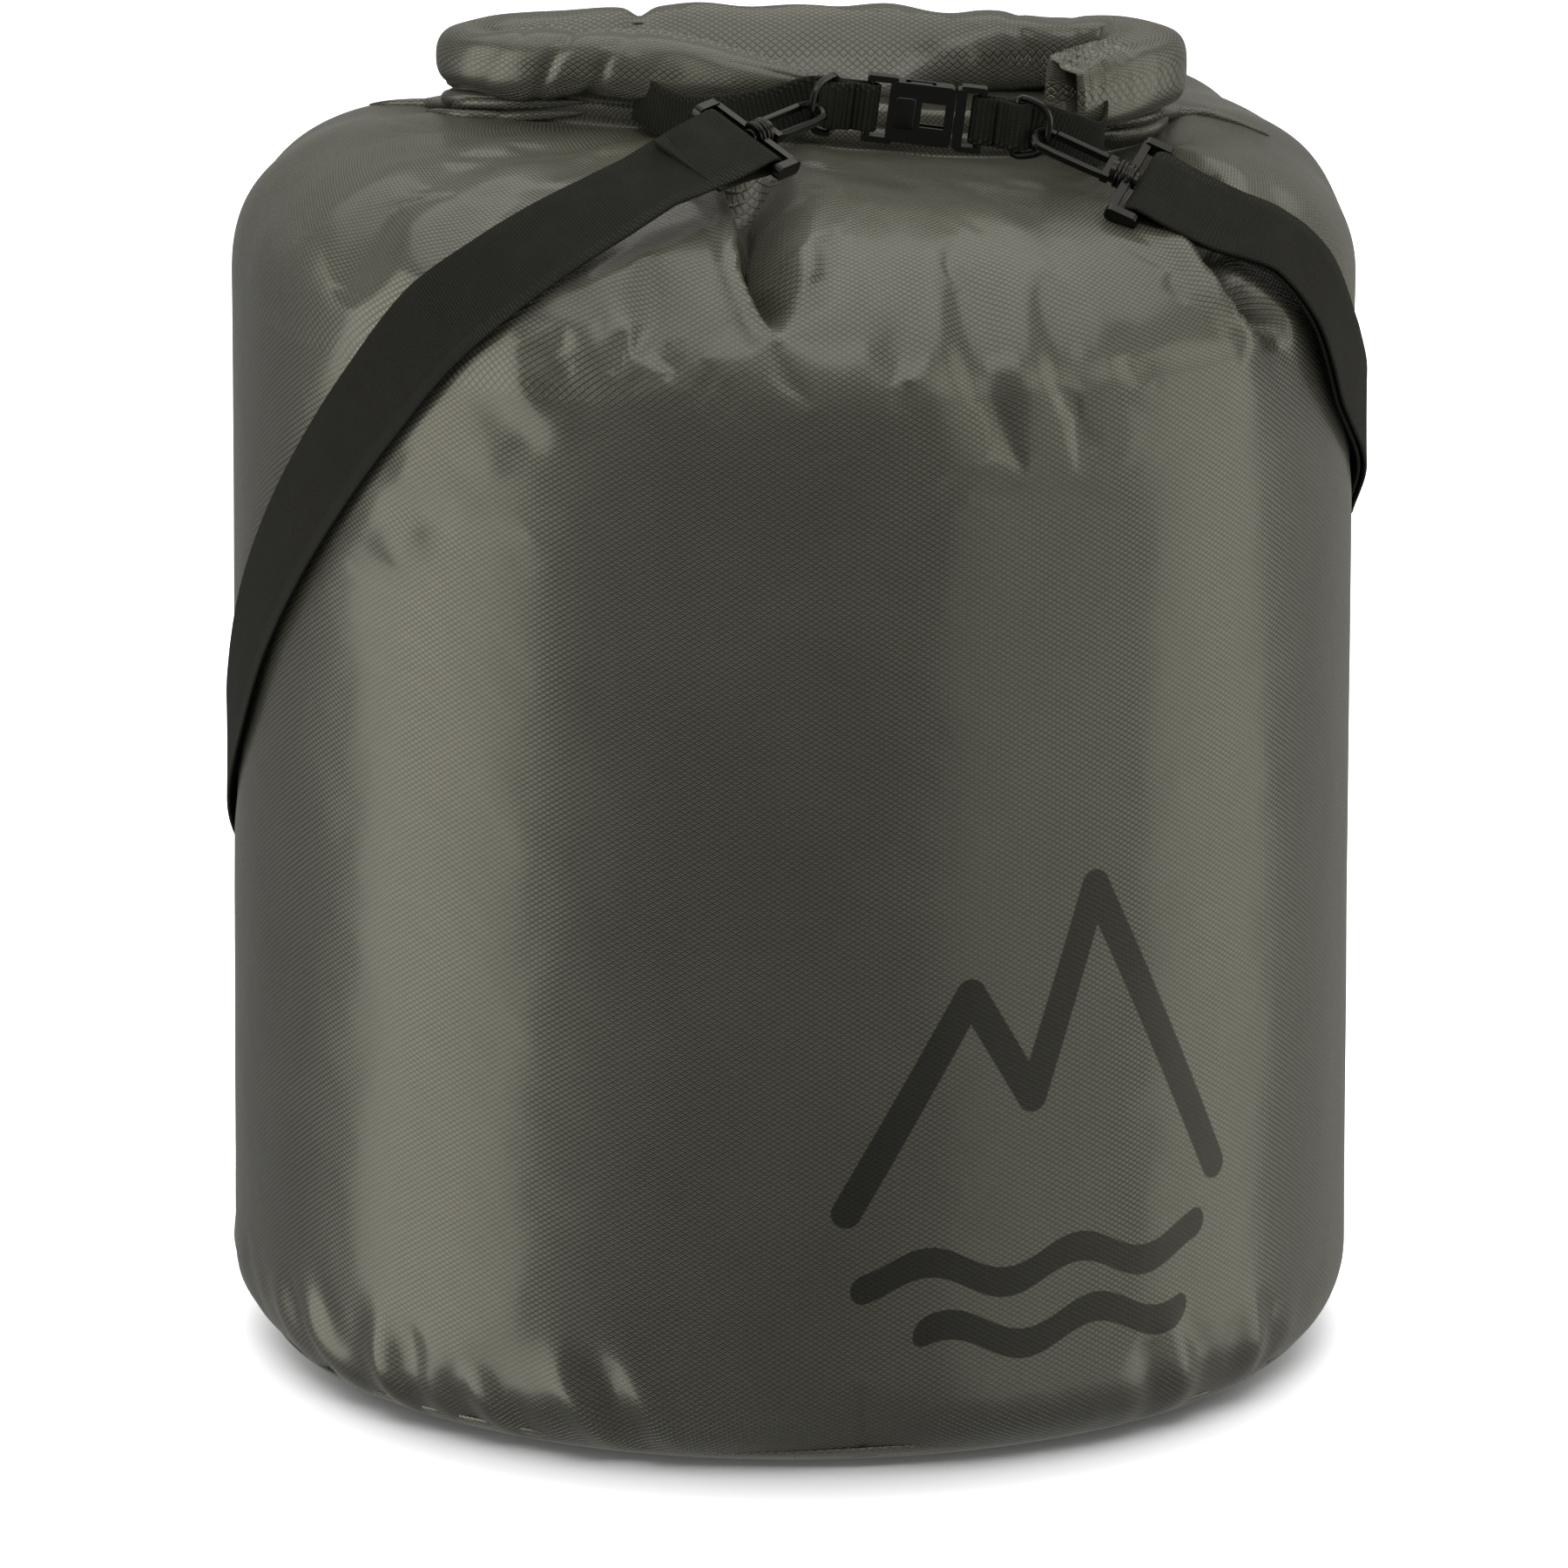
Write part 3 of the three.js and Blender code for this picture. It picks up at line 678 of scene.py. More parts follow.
def body_grid():
    """Rings of the bag's side from the hem to the neck, starting at the side seam."""
    a = column_angles()[:-1]
    rings = []
    for i in range(HEM_ROWS):
        t = i / (HEM_ROWS - 1) * math.pi / 2
        r, z = BODY_R - HEM_R + HEM_R * math.sin(t), HEM_R - HEM_R * math.cos(t)
        rings.append(circle(r, a, z))
    for t in np.linspace(0, 1, WALL_ROWS + 2)[1:-1]:
        z = HEM_R + (RIM_Z - HEM_R) * t * (1.4 - 0.4 * t)
        rings.append(circle(BODY_R, a, z))
    for i in range(SHOULDER_ROWS):
        rings.append(shoulder_point(a, np.full_like(a, i / (SHOULDER_ROWS - 1))))
    neck = rings[-1]
    middle = np.array([*NECK_MID, NECK_Z])
    for inward, lift in COLLAR:
        ring = neck + (middle - neck) * [inward, inward * 1.6 if 0 < inward < 0.3 else inward, 0]
        ring[:, 2] = neck[:, 2] + lift
        rings.append(ring)
    return np.array(rings)


def seen_from_front(points):
    """Sideways and upward places in the plane that faces a viewer in front and a little above."""
    return points[..., 0], points[..., 2] * math.cos(VIEW_TILT) + points[..., 1] * math.sin(VIEW_TILT)


def grid_normals(grid):
    """Outward directions at the points of rings."""
    around = np.roll(grid, -1, axis=1) - np.roll(grid, 1, axis=1)
    up = np.gradient(grid, axis=0)
    return unit(np.cross(around, up))


def line_distance(x, y, line):
    """Signed distance from a polyline, and how far along it from 0 to 1, for many points."""
    line = np.asarray(line, float)
    lengths = np.linalg.norm(np.diff(line, axis=0), axis=1)
    starts = length_so_far(line)
    best, signed, along = np.full(x.shape, 1e9), np.zeros(x.shape), np.zeros(x.shape)
    for (ax, ay), (bx, by), length, start in zip(line, line[1:], lengths, starts):
        dx, dy = (bx - ax) / length, (by - ay) / length
        t = np.clip((x - ax) * dx + (y - ay) * dy, 0, length)
        off_x, off_y = x - ax - t * dx, y - ay - t * dy
        d = np.hypot(off_x, off_y)
        nearer = d < best
        best = np.where(nearer, d, best)
        signed = np.where(nearer, np.sign(off_x * dy - off_y * dx) * d, signed)
        along = np.where(nearer, (start + t) / starts[-1], along)
    return signed, along


def crease(x, y, line, depth, width, lip):
    """A soft groove along a line that fades at its far end, with a low lip on both sides."""
    across, along = line_distance(x, y, line)
    groove = -hump(across, 0, width)
    lips = hump(np.abs(across), 1.9 * width, width)
    share = smoothstep(along, -0.1, 0.35) * (1 - smoothstep(along, 0.65, 1.0))
    return depth * share * (groove + lip * lips)


def tuck(x, y, line, depth, widths, edge=1.0, fade=0.62):
    """A fold with a crisp edge on its line, a trough to the right of it and a rounded far side.

    The widths are the trough's at both ends of the line, and it runs out after the share fade.
    """
    across, along = line_distance(x, y, line)
    width = widths[0] + (widths[1] - widths[0]) * along
    t = -across / width
    share = smoothstep(along, 0.0, 0.08) * (1 - smoothstep(along, fade, 1.0))
    inside = smoothstep(t * width, -1.0, 3.6 * edge) * (1 - smoothstep(t, 0.3, 1.6))
    beyond = hump(t, 1.8, 0.42)
    before = hump(t * width, -5, 4.5)
    return depth * share * (0.16 * beyond + 0.14 * before - inside)


# Sideways and upward places of the lines of the front's folds.
V_FOLD = [(-30, 478), (-29, 467), (-24, 451), (-20.5, 428), (-13, 412), (-4, 398)]
V_INNER = [(20, 474), (17, 458), (11, 440), (4, 424), (-2, 410)]
SIDE_FOLD = [(118, 484), (124.5, 479), (140, 470), (156.5, 458), (168, 436), (183, 415), (200, 398)]
SIDE_INNER = [(164, 462), (176, 447), (187, 431), (198, 413), (206, 400)]
# Line, depth and half width of the softer creases, and their lips' share of the depth.
SOFT_CREASES = [
    ([(60, 440), (76, 405), (84, 370), (86, 335)], 2.8, 12, 0.6),
    ([(98, 430), (108, 398), (116, 362), (118, 330)], 2.4, 9, 0.6),
    ([(36, 442), (44, 415), (46, 385)], 1.8, 8, 0.6),
    ([(62, 462), (86, 462), (108, 450)], 2.2, 6, 0.5),
    ([(-80, 440), (-62, 430), (-48, 408)], 1.8, 8, 0.6),
    ([(-116, 404), (-98, 396), (-86, 380)], 1.8, 8, 0.6),
    ([(-130, 380), (-112, 366), (-102, 348)], 1.4, 9, 0.6),
    ([(-170, 338), (-152, 334), (-138, 316)], 2.2, 8, 0.6),
    ([(-150, 488), (-138, 470), (-132, 445)], 1.3, 11, 0.6),
    ([(-186, 470), (-176, 440), (-172, 410)], 1.2, 12, 0.5),
    ([(-96, 492), (-88, 470), (-90, 452)], 1.0, 10, 0.5),
]
# Small swells where the fabric bulges beside the strap: place, radius and height.
SWELLS = [(-74, 436, 13, 1.8), (-108, 390, 12, 1.8), (-158, 326, 12, 1.4), (-40, 446, 10, 1.6)]


def sculpt_front(grid):
    """Folds where the closure gathers the front of the bag."""
    x, y = seen_from_front(grid)
    normals = grid_normals(grid)
    facing = smoothstep(-grid[..., 1], 5, 60)
    depth = tuck(x, y, V_FOLD, 24, (21, 11)) + tuck(x, y, SIDE_FOLD, 24, (19, 13), 1.1, 0.84)
    depth += crease(x, y, V_INNER, -2.0, 6, 0) + crease(x, y, SIDE_INNER, -2.4, 5, 0)
    for line, deep, width, lip in SOFT_CREASES:
        depth += crease(x, y, line, deep, width, lip)
    for middle_x, middle_y, radius, height in SWELLS:
        depth += height * np.exp(-((x - middle_x) ** 2 + (y - middle_y) ** 2) / radius**2)
    return grid + normals * (depth * facing)[..., None]


def wave_sum(a, z, seed, count, lengths, slant=0.0):
    """A smooth irregular field from a few seeded waves round and up the bag, about -1 to 1."""
    random = np.random.default_rng(seed)
    total = np.zeros(a.shape)
    for _ in range(count):
        wavelength = random.uniform(*lengths)
        direction = random.uniform(-0.5, 0.5) + slant
        phase = random.uniform(0, math.tau)
        turns = max(1, round(math.tau * BODY_R / wavelength * math.cos(direction)))
        total += np.sin(turns * a + z * math.tau / wavelength * math.sin(direction) + phase)
    return total / math.sqrt(count)


def sculpt_all_round(grid):
    """Soft unevenness of the stuffed wall, gathers under the roll and puckers above the base seam."""
    a = np.arctan2(grid[..., 0], -grid[..., 1])
    z = grid[..., 2]
    normals = grid_normals(grid)
    wall = 1.3 * wave_sum(a, z, 3, 7, (120, 420)) + 0.2 * wave_sum(a, z, 5, 9, (40, 90))
    top_row = HEM_ROWS + WALL_ROWS + SHOULDER_ROWS
    rows = np.arange(grid.shape[0])[:, None]
    shoulder = smoothstep(rows, top_row - 62, top_row - 32) * (1 - smoothstep(rows, top_row - 6, top_row))
    away = 1 - 0.75 * hump(a, 0, 0.9)
    gathers = 1.7 * wave_sum(a, z * 0.3, 11, 8, (46, 110)) * shoulder * away
    hem = hump(z, 26, 22) * smoothstep(wave_sum(a, z, 17, 5, (260, 620)), -0.4, 0.7)
    puckers = 2.4 * wave_sum(a, z, 23, 7, (24, 50), 0.25) * hem
    inward = (np.minimum(wall, 1.2) + gathers + puckers) * smoothstep(rows, 1, 7)
    return grid + normals * inward[..., None]


def held_by_strap(grid, nominal):
    """Under the strap the fabric keeps its true place, pressed in a little."""
    centre = [p for p, _ in LEFT_SHOULDER] + wall_route(-400, 400) + [p for p, _ in RIGHT_SHOULDER]
    route, _, _ = catmull(centre, 260)
    nearest = np.full(grid.shape[:2], 1e9)
    for p in route:
        nearest = np.minimum(nearest, np.linalg.norm(nominal - p, axis=-1))
    share = (1 - smoothstep(nearest, STRAP_W / 2 - 2, STRAP_W / 2 + 14))[..., None]
    pressed = nominal - grid_normals(nominal) * 1.2
    return grid * (1 - share) + pressed * share


def weigh(obj, name, weights):
    """A vertex group with these weights."""
    group = obj.vertex_groups.new(name=name)
    for weight in np.unique(weights):
        where = np.nonzero(weights == weight)[0]
        group.add(where.tolist(), float(weight), "REPLACE")


CLOTH = {
    "quality": 5, "mass": 0.2, "tension_stiffness": 20, "compression_stiffness": 20, "shear_stiffness": 10,
    "bending_stiffness": 0.6, "vertex_group_mass": "pin", "vertex_group_shrink": "spare",
    "shrink_min": 0.0, "shrink_max": -0.045, "use_pressure": True, "uniform_pressure_force": 3.0,
}
CLOTH_FRAMES = 18
CLOTH_MOST = 7  # the fabric moves no further than this


def simulate(obj, pins, spare):
    """Lets the fabric buckle for a moment under the filling's pressure, and caps how far it moves."""
    weigh(obj, "pin", pins.round(2))
    weigh(obj, "spare", spare.round(1))
    cloth = obj.modifiers.new("cloth", "CLOTH")
    for setting, value in CLOTH.items():
        setattr(cloth.settings, setting, value)
    cloth.settings.effector_weights.gravity = 0
    before = np.array([v.co for v in obj.data.vertices])
    for number in range(1, CLOTH_FRAMES + 1):
        bpy.context.scene.frame_set(number)
    graph = bpy.context.evaluated_depsgraph_get()
    after = np.array([v.co for v in obj.evaluated_get(graph).data.vertices])
    step = after - before
    size = np.linalg.norm(step, axis=1, keepdims=True)
    limit = CLOTH_MOST * MM
    return (before + step * (limit * np.tanh(size / limit) / np.maximum(size, 1e-9))) / MM


def buckled(grid, uv):
    """The grid after the cloth simulation, held at its hem and neck and with spare cloth near both."""
    rows, columns = grid.shape[:2]
    trial = skin("body_trial", grid, uv)
    row = np.repeat(np.arange(rows), columns)
    top_row = rows - len(COLLAR)
    pins = 1 - smoothstep(row, 1, 4) + smoothstep(row, top_row - 8, top_row - 2)
    spare = 0.25 + 0.75 * smoothstep(row, top_row - 80, top_row - 50)
    spare += 0.5 * (1 - smoothstep(row, 12, 30))
    # The last two points are the middles of the tube's ends.
    pins = np.append(np.clip(pins, 0, 1), [1, 1])
    spare = np.append(np.clip(spare, 0, 1), [0, 0])
    moved = simulate(trial, pins, spare)
    bpy.data.objects.remove(trial)
    return moved[: rows * columns].reshape(rows, columns, 3)


def make_body():
    """The bag's side, from under the base seam to the collar. Its grid of points is returned."""
    nominal = body_grid()
    grid = sculpt_front(sculpt_all_round(nominal))
    around = BODY_R * column_angles()
    steps = np.linalg.norm(np.diff(nominal, axis=0), axis=-1).mean(axis=1)
    up = np.concatenate([[0], np.cumsum(steps)])
    uv = uv_grid(around, up)
    grid = buckled(grid, uv)
    grid = held_by_strap(grid, nominal)
    obj = skin("bag_side", *finer(grid, uv))
    finish_with(obj, "sack", PRINTED_FABRIC, "body_panel")
    return grid


BODY_GRID = make_body()

BASE_COLUMNS = 144
BASE_RADII = (6, 60, 120, 170, 190, 198)
BASE_Z = 1.0
BASE_T = 0.6
HEM_TURN = 40  # degrees that the base's edge is turned up by
HEM_STEPS = 8
EDGE_TUCK = 2.4  # the edge bends in this far, to meet the wall


def make_base():
    """The round base, turned up over the hem to its welded seam."""
    a = np.arange(BASE_COLUMNS) * math.tau / BASE_COLUMNS
    lift = HEM_TURN + 3.0 * wave_sum(a, a * 0, 31, 4, (140, 400))
    rings = [circle(r, a, BASE_Z) for r in BASE_RADII]
    for i in range(1, HEM_STEPS + 1):
        share = i / HEM_STEPS
        t = np.radians(lift * i / HEM_STEPS)
        r = BODY_R - HEM_R + (HEM_R + 0.7 - EDGE_TUCK * share**5) * np.sin(t)
        rings.append(circle(r, a, HEM_R + BASE_Z - HEM_R * np.cos(t)))
    grid = np.array(rings)
    uv = grid[..., :2]
    uv = np.concatenate([uv, uv[:, :1]], axis=1)
    obj = skin("base_cloth", grid, uv, ends=False)
    thick = obj.modifiers.new("thickness", "SOLIDIFY")
    thick.thickness = BASE_T * MM
    thick.offset = 1
    finish_with(obj, "sack", BASE_FABRIC, "base_panel")


make_base()

# Section of the side seam's strip: share of the way to the body's next column, and height on the body.
SEAM_SECTION = [
    (-1, 0.2), (-0.9, 0.8), (-0.4, 1.0), (0.4, 1.0), (0.9, 0.8), (1, 0.2), (0.5, -0.8), (-0.5, -0.8),
]
SEAM_HALF = 6


def make_side_seam():
    """A flat seam strip over the side seam, from the hem to the collar."""
    rows = slice(2, 2 - len(COLLAR))
    strip, out = BODY_GRID[rows], grid_normals(BODY_GRID)[rows]
    ring = []
    for across, lift in SEAM_SECTION:
        side, share = (1 if across > 0 else -1), abs(across)
        place = strip[:, 0] * (1 - share) + strip[:, side] * share
        normal = out[:, 0] * (1 - share) + out[:, side] * share
        ring.append(place + normal * lift)
    grid = np.stack(ring, axis=1)
    around = np.array([across for across, _ in SEAM_SECTION + SEAM_SECTION[:1]]) * SEAM_HALF
    uv = uv_grid(around, length_so_far(strip[:, 0]))
    finish_with(skin("side_seam_strip", grid, uv), "sack", FABRIC)


make_side_seam()


# ---- the rolled mouth
# The roll's middle line, from its left tip round the back to its right end.
ROLL_PATH = [
    (9, -64, 547), (-20, -49, 546), (-58, -31, 546), (-98, -18, 545), (-126, -5, 543), (-135, 14, 541),
    (-124, 28, 538), (-90, 33, 538), (-30, 36, 538), (40, 36, 538), (105, 33, 538), (137, 24, 538),
    (145, 4, 539), (138, -16, 539), (125, -34, 538), (113, -46, 538),
]
# Half of the roll's depth and half of its height at each of those points.
ROLL_SIZE = [
    (2.5, 2.5), (9, 10), (13, 14.5), (13, 14.5), (12.5, 13), (12.5, 12.5), (13, 14), (13.5, 16), (14, 17),
    (14, 16.5), (14, 15.5), (15, 16), (16, 16.5), (15.5, 16), (14, 15), (12, 13),
]
ROLL_SEAM_X = 118  # a vertical seam shows on the inner face of the rear run
ROLL_FOLD_X = -72  # and the layers are pinched together here
ROLL_STEPS = 320
ROLL_SIDES = 72
ROLL_GIRTH = 112
REAR_LEAN = 0.75  # the rear run leans back by this share of its height
# Layers inside the roll's right end: share of the way in, share of the depth lost, and how far inside.
HOLLOW = [(0.08, 0.1, -1.4), (0.16, 0.3, 0), (0.26, 0.5, 5), (0.4, 0.5, 16)]
HOLLOW_LENGTHS = np.array([2, 4, 9, 20])


def roll_relief(s, turn, x):
    """How far the roll's surface stands out, from the length along it, the angle round it and its X."""
    total = s[-1, 0]
    random = np.random.default_rng(41)
    relief = np.zeros(np.broadcast(s, turn).shape)
    for _ in range(16):
        wavelength = random.uniform(26, 95)
        twist, phase = random.integers(-2, 3), random.uniform(0, math.tau)
        relief += 0.26 * np.sin(s * math.tau / wavelength + twist * turn + phase)
    # Pleats at the left tip.
    tip = 1 - smoothstep(s, 4, 58)
    relief += 1.5 * tip * (np.abs(np.sin(2.5 * turn + 0.012 * s)) ** 0.6 - 0.6)
    # Kinks in both bends.
    bend = hump(s, 0.2 * total, 26) + 0.6 * hump(s, 0.77 * total, 22)
    relief -= 1.7 * bend * hump(np.sin(s * math.tau / 46 + 1.2 * np.sin(turn)), 0, 0.45)
    # A crumpled right end.
    end = smoothstep(s, total - 46, total - 8)
    crumple = np.sin(s * math.tau / 17 + 3 * turn) + np.sin(s * math.tau / 11 - 2 * turn + 1.3)
    relief += 0.9 * end * (1 - np.abs(crumple)) * (1 + np.cos(turn - 0.6))
    # The seam and the pinched fold of the rear run.
    rear = (s > 0.28 * total) & (s < 0.72 * total)
    relief -= rear * 1.1 * hump(x, ROLL_SEAM_X, 1.6)
    relief -= rear * 3.2 * hump(x - 9 * np.sin(turn), ROLL_FOLD_X, 4.5) * (1 + np.sin(turn)) / 2
    # The step at the outer layer's edge.
    layer_edge = 1.15 + 0.25 * np.sin(s * math.tau / 240)
    relief += 1.5 * (((turn - layer_edge) / math.tau) % 1 - 0.5)
    return relief


def make_roll():
    """The rolled mouth, bent to a C whose ends meet at the buckle. Its right end shows the roll's hollow."""
    centre, up, across, length = stations(ROLL_PATH, [(0, 0, 1)] * len(ROLL_PATH), ROLL_STEPS)
    half = catmull([(w, h, 0) for w, h in ROLL_SIZE], ROLL_STEPS)[0]
    turn = np.arange(ROLL_SIDES) * math.tau / ROLL_SIDES
    share = length[:, None] / length[-1]
    rounding = 0.8 - 0.24 * smoothstep(share, 0.7, 0.82)
    c = np.sign(np.cos(turn)) * np.abs(np.cos(turn)) ** rounding
    d = np.sign(np.sin(turn)) * np.abs(np.sin(turn)) ** rounding
    relief = roll_relief(length[:, None], turn[None], centre[:, :1])
    wide = half[:, :1] * c + relief * np.cos(turn)
    high = half[:, 1:2] * d + relief * np.sin(turn)
    grid = centre[:, None] + across[:, None] * wide[..., None] + up[:, None] * high[..., None]
    lean = smoothstep(share, 0.27, 0.36) * (1 - smoothstep(share, 0.66, 0.75))
    grid[..., 1] += REAR_LEAN * lean * (grid[..., 2] - centre[:, None, 2])
    back = -unit(centre[-1] - centre[-2])
    rim = grid[-1] - centre[-1]
    sideways = (rim @ across[-1])[:, None] * across[-1]
    hollow = [
        centre[-1] + rim * (1 - shrink) - sideways * pinch + back * deep
        for shrink, pinch, deep in HOLLOW
    ]
    grid = np.concatenate([grid, hollow])
    along = np.append(length, length[-1] + HOLLOW_LENGTHS)
    girth = np.arange(ROLL_SIDES + 1) * (ROLL_GIRTH / ROLL_SIDES)
    uv = uv_grid(girth, along)[..., ::-1]
    obj = skin("mouth_roll", *finer(grid, uv))
    finish_with(obj, "sack", FABRIC, "rolled_mouth")


make_roll()

# Rolled folds that lead from the collar down both shoulders: sideways and upward places of their lines.
COLLAR_FOLDS = {
    "collar_fold_left": [
        (-212, 494), (-203, 501), (-187, 506), (-165, 507), (-140, 506), (-112, 505), (-84, 505),
    ],
    "collar_fold_left_low": [(-152, 503), (-134, 500), (-112, 500), (-86, 501)],
    "collar_fold_right": [
        (107, 501), (119, 498), (137, 497.5), (151, 501), (165, 503), (181, 500), (198, 493),
    ],
}
FOLD_SIDES = 16
FAR = 1000  # the rays that find the body start this far in front of it


def laid_on_body(line, body):
    """Points just off the body's surface along a line given as seen from the front."""
    ahead = Vector((0, math.cos(VIEW_TILT), -math.sin(VIEW_TILT)))
    upward = Vector((0, math.sin(VIEW_TILT), math.cos(VIEW_TILT)))
    path = []
    for x, y, _ in catmull([(x, y, 0) for x, y in line], 60)[0]:
        hit, normal, _, _ = body.ray_cast(Vector((x, 0, 0)) + upward * y - ahead * FAR, ahead)
        if hit:
            path.append(np.array(hit + normal * 0.4))
    path = np.array(path)
    for _ in range(6):
        path[1:-1] = (path[:-2] + 2 * path[1:-1] + path[2:]) / 4
    return path


def make_collar_folds():
    """Each is a thin tube of fabric laid on the body along its line."""
    points = [tuple(p) for p in BODY_GRID.reshape(-1, 3)]
    body = BVHTree.FromPolygons(points, ring_quads(BODY_GRID.shape[0], COLUMNS))
    turn = np.arange(FOLD_SIDES) * math.tau / FOLD_SIDES
    around = np.arange(FOLD_SIDES + 1.0)
    for name, line in COLLAR_FOLDS.items():
        path = laid_on_body(line, body)
        share = np.linspace(0, 1, len(path))
        radius = 0.2 + 2.3 * np.abs(np.sin(np.pi * share)) ** 0.6
        _, w, n, length = stations(path, [(0, 0.3, 1)] * len(path), len(path) - 1)
        ring = np.cos(turn)[None, :, None] * w[:, None] + np.sin(turn)[None, :, None] * n[:, None]
        grid = path[:, None] + ring * radius[:, None, None]
        uv = uv_grid(around, length)[..., ::-1]
        finish_with(skin(name, grid[:, ::-1], uv[:, ::-1]), "sack", FABRIC)


make_collar_folds()


# ---- webbing
def closure_point(x, y, z=0.0):
    """A point of the buckled closure: along it, towards the bag and across its width."""
    c, s = math.cos(BUCKLE_TILT), math.sin(BUCKLE_TILT)
    return np.array([BUCKLE_AT[0] + x * c + z * s, BUCKLE_AT[1] + y, BUCKLE_AT[2] - x * s + z * c])


CLOSURE_UP = (math.sin(BUCKLE_TILT), 0, math.cos(BUCKLE_TILT))
# Each tail starts inside the rolled mouth, where it is sewn in.
LEFT_TAIL = [(-64, -36, 535), (-47, -57, 531), (-28, -73, 534), (-8, -80, 539)]
RIGHT_TAIL = [(128, -32, 532), (126, -58, 520), (112, -74, 527)]
# From the tail round the buckle's bar and back, along the closure and towards the bag.
CLOSURE_LINE = [
    (46, 1), (38, 0.4), (31, -1.3), (27, -2.6), (23, -3), (20.2, -1.8), (19.6, 0),
    (20.2, 1.8), (23, 3), (27, 3), (32, 2.3), (40, 3),
]
# The loop that holds a D-ring's bar.
KEEPER_LINE = [(43, -1.7), (41.4, -3.6), (40, -6), (38, -6.7), (35.6, -5.8), (33.4, -4.2), (30, -4.2)]


def make_closure_webbing():
    """The webbing on both sides of the buckle, with the keepers of the D-rings."""
    for side, sign, body, tail in (("left", -1, "sack", LEFT_TAIL), ("right", 1, None, RIGHT_TAIL)):
        points = tail + [closure_point(x * sign, y) for x, y in CLOSURE_LINE]
        band = webbing_band(f"closure_web_{side}", points, [CLOSURE_UP] * len(points), 130, CLOSURE_W)
        finish_with(band, body, CLOSURE_WEBBING, f"closure_webbing_{side}")
        if not body:
            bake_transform(band)
        keeper = [closure_point(x * sign, y) for x, y in KEEPER_LINE]
        arch = webbing_band(f"keeper_web_{side}", keeper, [CLOSURE_UP] * len(keeper), 40, CLOSURE_W)
        body = body or "closure_right"
        finish_with(arch, body, CLOSURE_WEBBING, f"ring_keeper_{side}")


make_closure_webbing()


def make_strap():
    """The long strap, from the left hook round the back to just behind the right side."""
    fold = fold_points("left", 1)
    wall = wall_route(STRAP_SPLIT, 0)
    surface = [np.array(p, float) for p, _ in LEFT_SHOULDER] + wall
    normals = np.vstack([unit([n for _, n in LEFT_SHOULDER]), outward(wall)])
    widths = [hook_frame("left")[2]] * len(fold) + list(lower_edges(surface, normals))
    band = webbing_band("strap", fold + surface, widths, 420, STRAP_W)
    finish_with(band, "sack", STRAP_WEBBING, "strap_long")


def make_strap_end():
    """The strap's end at the right hook: up to it, round its bar and back as the outer layer."""
    fold = fold_points("right", -1)[::-1]
    spots = [np.array(p, float) for p, _ in RIGHT_SHOULDER]
    facing = unit([n for _, n in RIGHT_SHOULDER])
    lifted = [p + n * (LAYER_2 - SKIN_GAP) for p, n in zip(spots, facing)]
    inner = wall_route(-400, STRAP_SPLIT)[:-1] + spots
    outer = wall_route(-400, STRAP_SPLIT, LAYER_2)[:-1] + lifted
    inner_edges = lower_edges(inner, np.vstack([outward(inner[:-2]), facing]))
    outer_edges = lower_edges(outer, np.vstack([outward(outer[:-2]), facing]))
    points = inner + fold + outer[::-1]
    widths = list(inner_edges) + [hook_frame("right")[2]] * len(fold) + list(outer_edges[::-1])
    band = webbing_band("strap_end", points, widths, 260, STRAP_W)
    finish_with(band, None, STRAP_WEBBING, "strap_right_loop")
    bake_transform(band)


def near_glide(x, out):
    """The point a length along the strap from the adjuster's middle, a distance off the wall."""
    return on_wall(GLIDE_DEG - math.degrees(x / BODY_R), GLIDE_Z, out)


# The second layer's fold round the adjuster's middle bar.
WRAP = [
    (9, 11.6), (4, 12.1), (0, 12.1), (-2.1, 11.3), (-3, 9.2), (-2.1, 7.1), (0, 6.3), (5, 5.5), (14, LAYER_2),
]


def make_strap_return():
    """The second layer, sewn round the adjuster's middle bar, up to the doubled end."""
    start = [near_glide(x, out) for x, out in WRAP]
    wall = wall_route(STRAP_SPLIT, GLIDE_DEG - 6.5, LAYER_2)
    points = start + wall
    widths = lower_edges(points, outward(points))
    widths[: len(WRAP)] = (0, 0, -1)
    band = webbing_band("strap_second_layer", points, widths, 260, STRAP_W)
    finish_with(band, None, STRAP_WEBBING, "strap_return")
    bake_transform(band)


make_strap()
make_strap_end()
make_strap_return()


# ---- moulded parts
def moulded(node, body, bevel):
    """A CAD part as a moulding: the same faces, with its edges rounded over."""
    obj = placed(node + "_moulding", frame["nodes"][node].data.copy())
    work = bmesh.new()
    work.from_mesh(obj.data)
    bmesh.ops.remove_doubles(work, verts=work.verts, dist=2e-6)
    bmesh.ops.dissolve_limit(work, angle_limit=math.radians(3), verts=work.verts, edges=work.edges)
    work.to_mesh(obj.data)
    work.free()
    rounding = obj.modifiers.new("rounding", "BEVEL")
    rounding.width = bevel * MM
    rounding.segments = 3
    rounding.limit_method = "ANGLE"
    rounding.angle_limit = math.radians(38)
    obj.data.polygons.foreach_set("use_smooth", [True] * len(obj.data.polygons))
    sharp = obj.modifiers.new("normals", "WEIGHTED_NORMAL")
    sharp.keep_sharp = True
    finish_with(obj, body, PLASTIC, node)


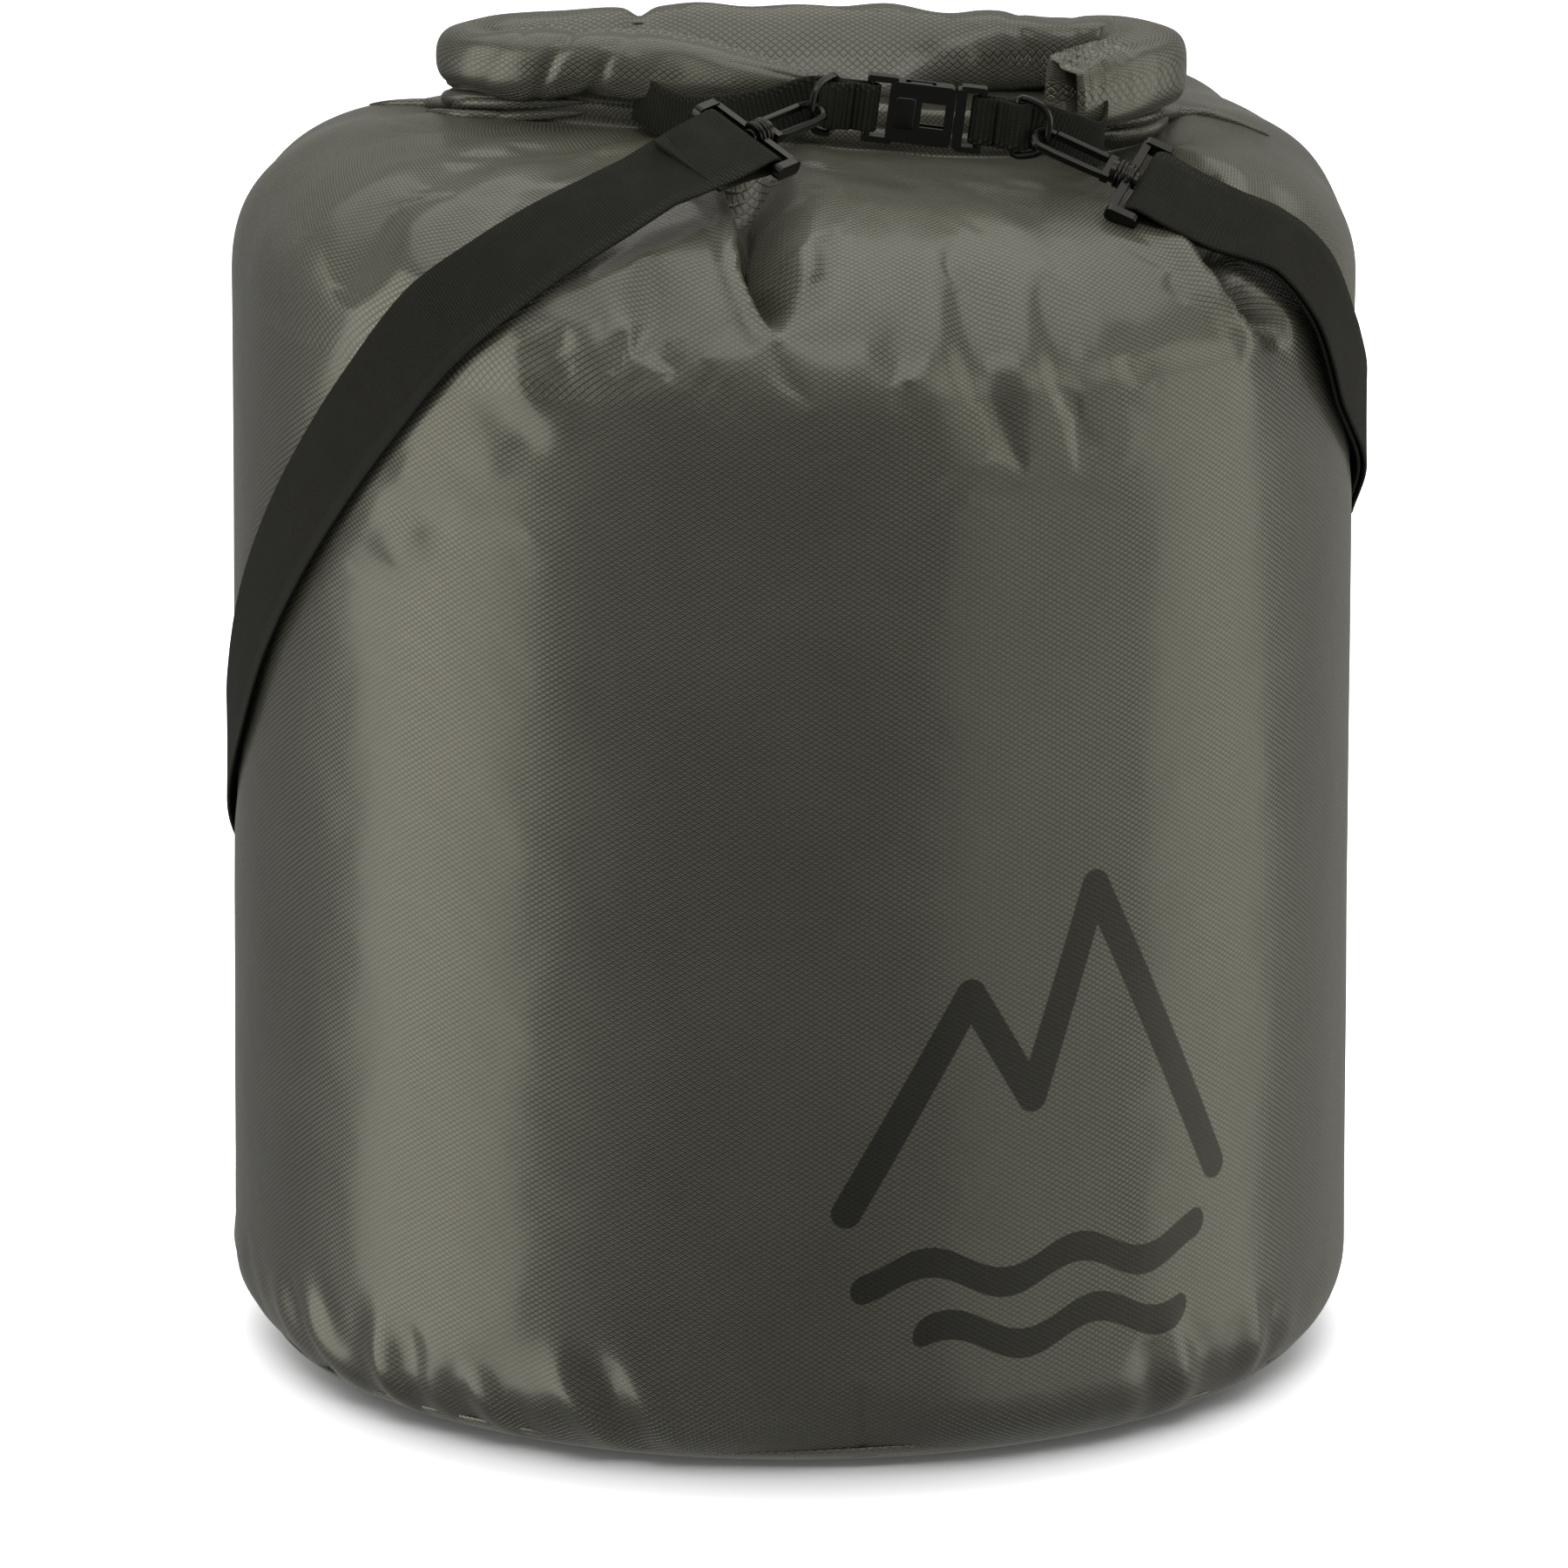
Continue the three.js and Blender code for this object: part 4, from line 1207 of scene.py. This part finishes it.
def make_mouldings():
    """The buckle, the adjuster, the hooks and the D-rings."""
    moulded("buckle_female", "sack", 0.7)
    moulded("buckle_male", "closure_right", 0.5)
    for place in ("upper", "lower"):
        moulded(f"buckle_prong_{place}", f"prong_{place}", 0.4)
    moulded("strap_adjuster", "adjuster", 0.6)
    for side in ("left", "right"):
        moulded(f"hook_base_{side}", f"hook_base_{side}", 0.6)
        moulded(f"hook_{side}", f"hook_{side}", 0.5)
        moulded(f"hook_gate_{side}", f"gate_{side}", 0.5)
        moulded(f"d_ring_{side}", f"ring_{side}", 0.5)


make_mouldings()


def lathe_ring(name, centre, axis, side, up, outline, count=40):
    """A closed ring of revolution. Its outline gives places along the axis and radii."""
    turn = np.arange(count) * math.tau / count
    spokes = np.cos(turn)[:, None] * side + np.sin(turn)[:, None] * up
    grid = np.array([[centre + axis * x + spoke * r for x, r in outline] for spoke in spokes])
    faces = []
    columns = len(outline)
    for i in range(count):
        for j in range(columns):
            k, m = (j + 1) % columns, (i + 1) % count
            faces.append((i * columns + j, m * columns + j, m * columns + k, i * columns + k))
    return mesh_object(name, grid.reshape(-1, 3), faces)


BEAD_PLACES = (8.8, 11.4, 13.2)  # along the hook, on its boss
BOSS_R = 5.4


def make_boss_beads():
    """Beads moulded round the boss that each hook turns in."""
    bead = [(0.95 * math.cos(t), BOSS_R + 0.9 * math.sin(t)) for t in np.linspace(0, math.pi, 7)]
    outline = bead + [(-0.95, BOSS_R - 0.5), (0.95, BOSS_R - 0.5)]
    for side in ("left", "right"):
        origin, x, y, z = hook_frame(side)
        for number, place in enumerate(BEAD_PLACES, 1):
            ring = lathe_ring(f"boss_bead_{side}_{number}", origin + x * place, x, y, z, outline)
            finish_with(ring, f"hook_base_{side}", PLASTIC)


PANEL_X = -8.0
PANEL_HALF = (4.2, 6.6)
PANEL_CORNER = 1.4
PANEL_EDGE = [(0, 0.6), (0, -0.35), (0.25, -0.595), (0.7, -0.7)]  # inset and place of each ring


def make_buckle_panel():
    """A shallow raised panel beside the buckle's window, with rounded corners and edges."""
    body = frame["nodes"]["buckle_female"].data
    front = min(v.co.y for v in body.vertices) / MM - BUCKLE_AT[1]
    turns = np.arange(32) * math.tau / 32
    rings = []
    for inset, out in PANEL_EDGE:
        ring = []
        for t in turns:
            x, z = [
                math.copysign(half - PANEL_CORNER, swing) + (PANEL_CORNER - inset) * swing
                for half, swing in zip(PANEL_HALF, (math.cos(t), math.sin(t)))
            ]
            ring.append(closure_point(PANEL_X + x, front + out, z))
        rings.append(ring)
    uv = uv_grid(np.arange(33.0), np.arange(4.0))
    panel = skin("buckle_panel", np.array(rings), uv)
    finish_with(panel, "sack", PLASTIC)


make_boss_beads()
make_buckle_panel()

# The parts inside keep their CAD shape.
for inner, paint in (("base_seam_tape", TAPE), ("side_seam_tape", TAPE), ("mouth_stiffener", STIFFENER)):
    frame["nodes"][inner].data.materials.clear()
    frame["nodes"][inner].data.materials.append(paint)
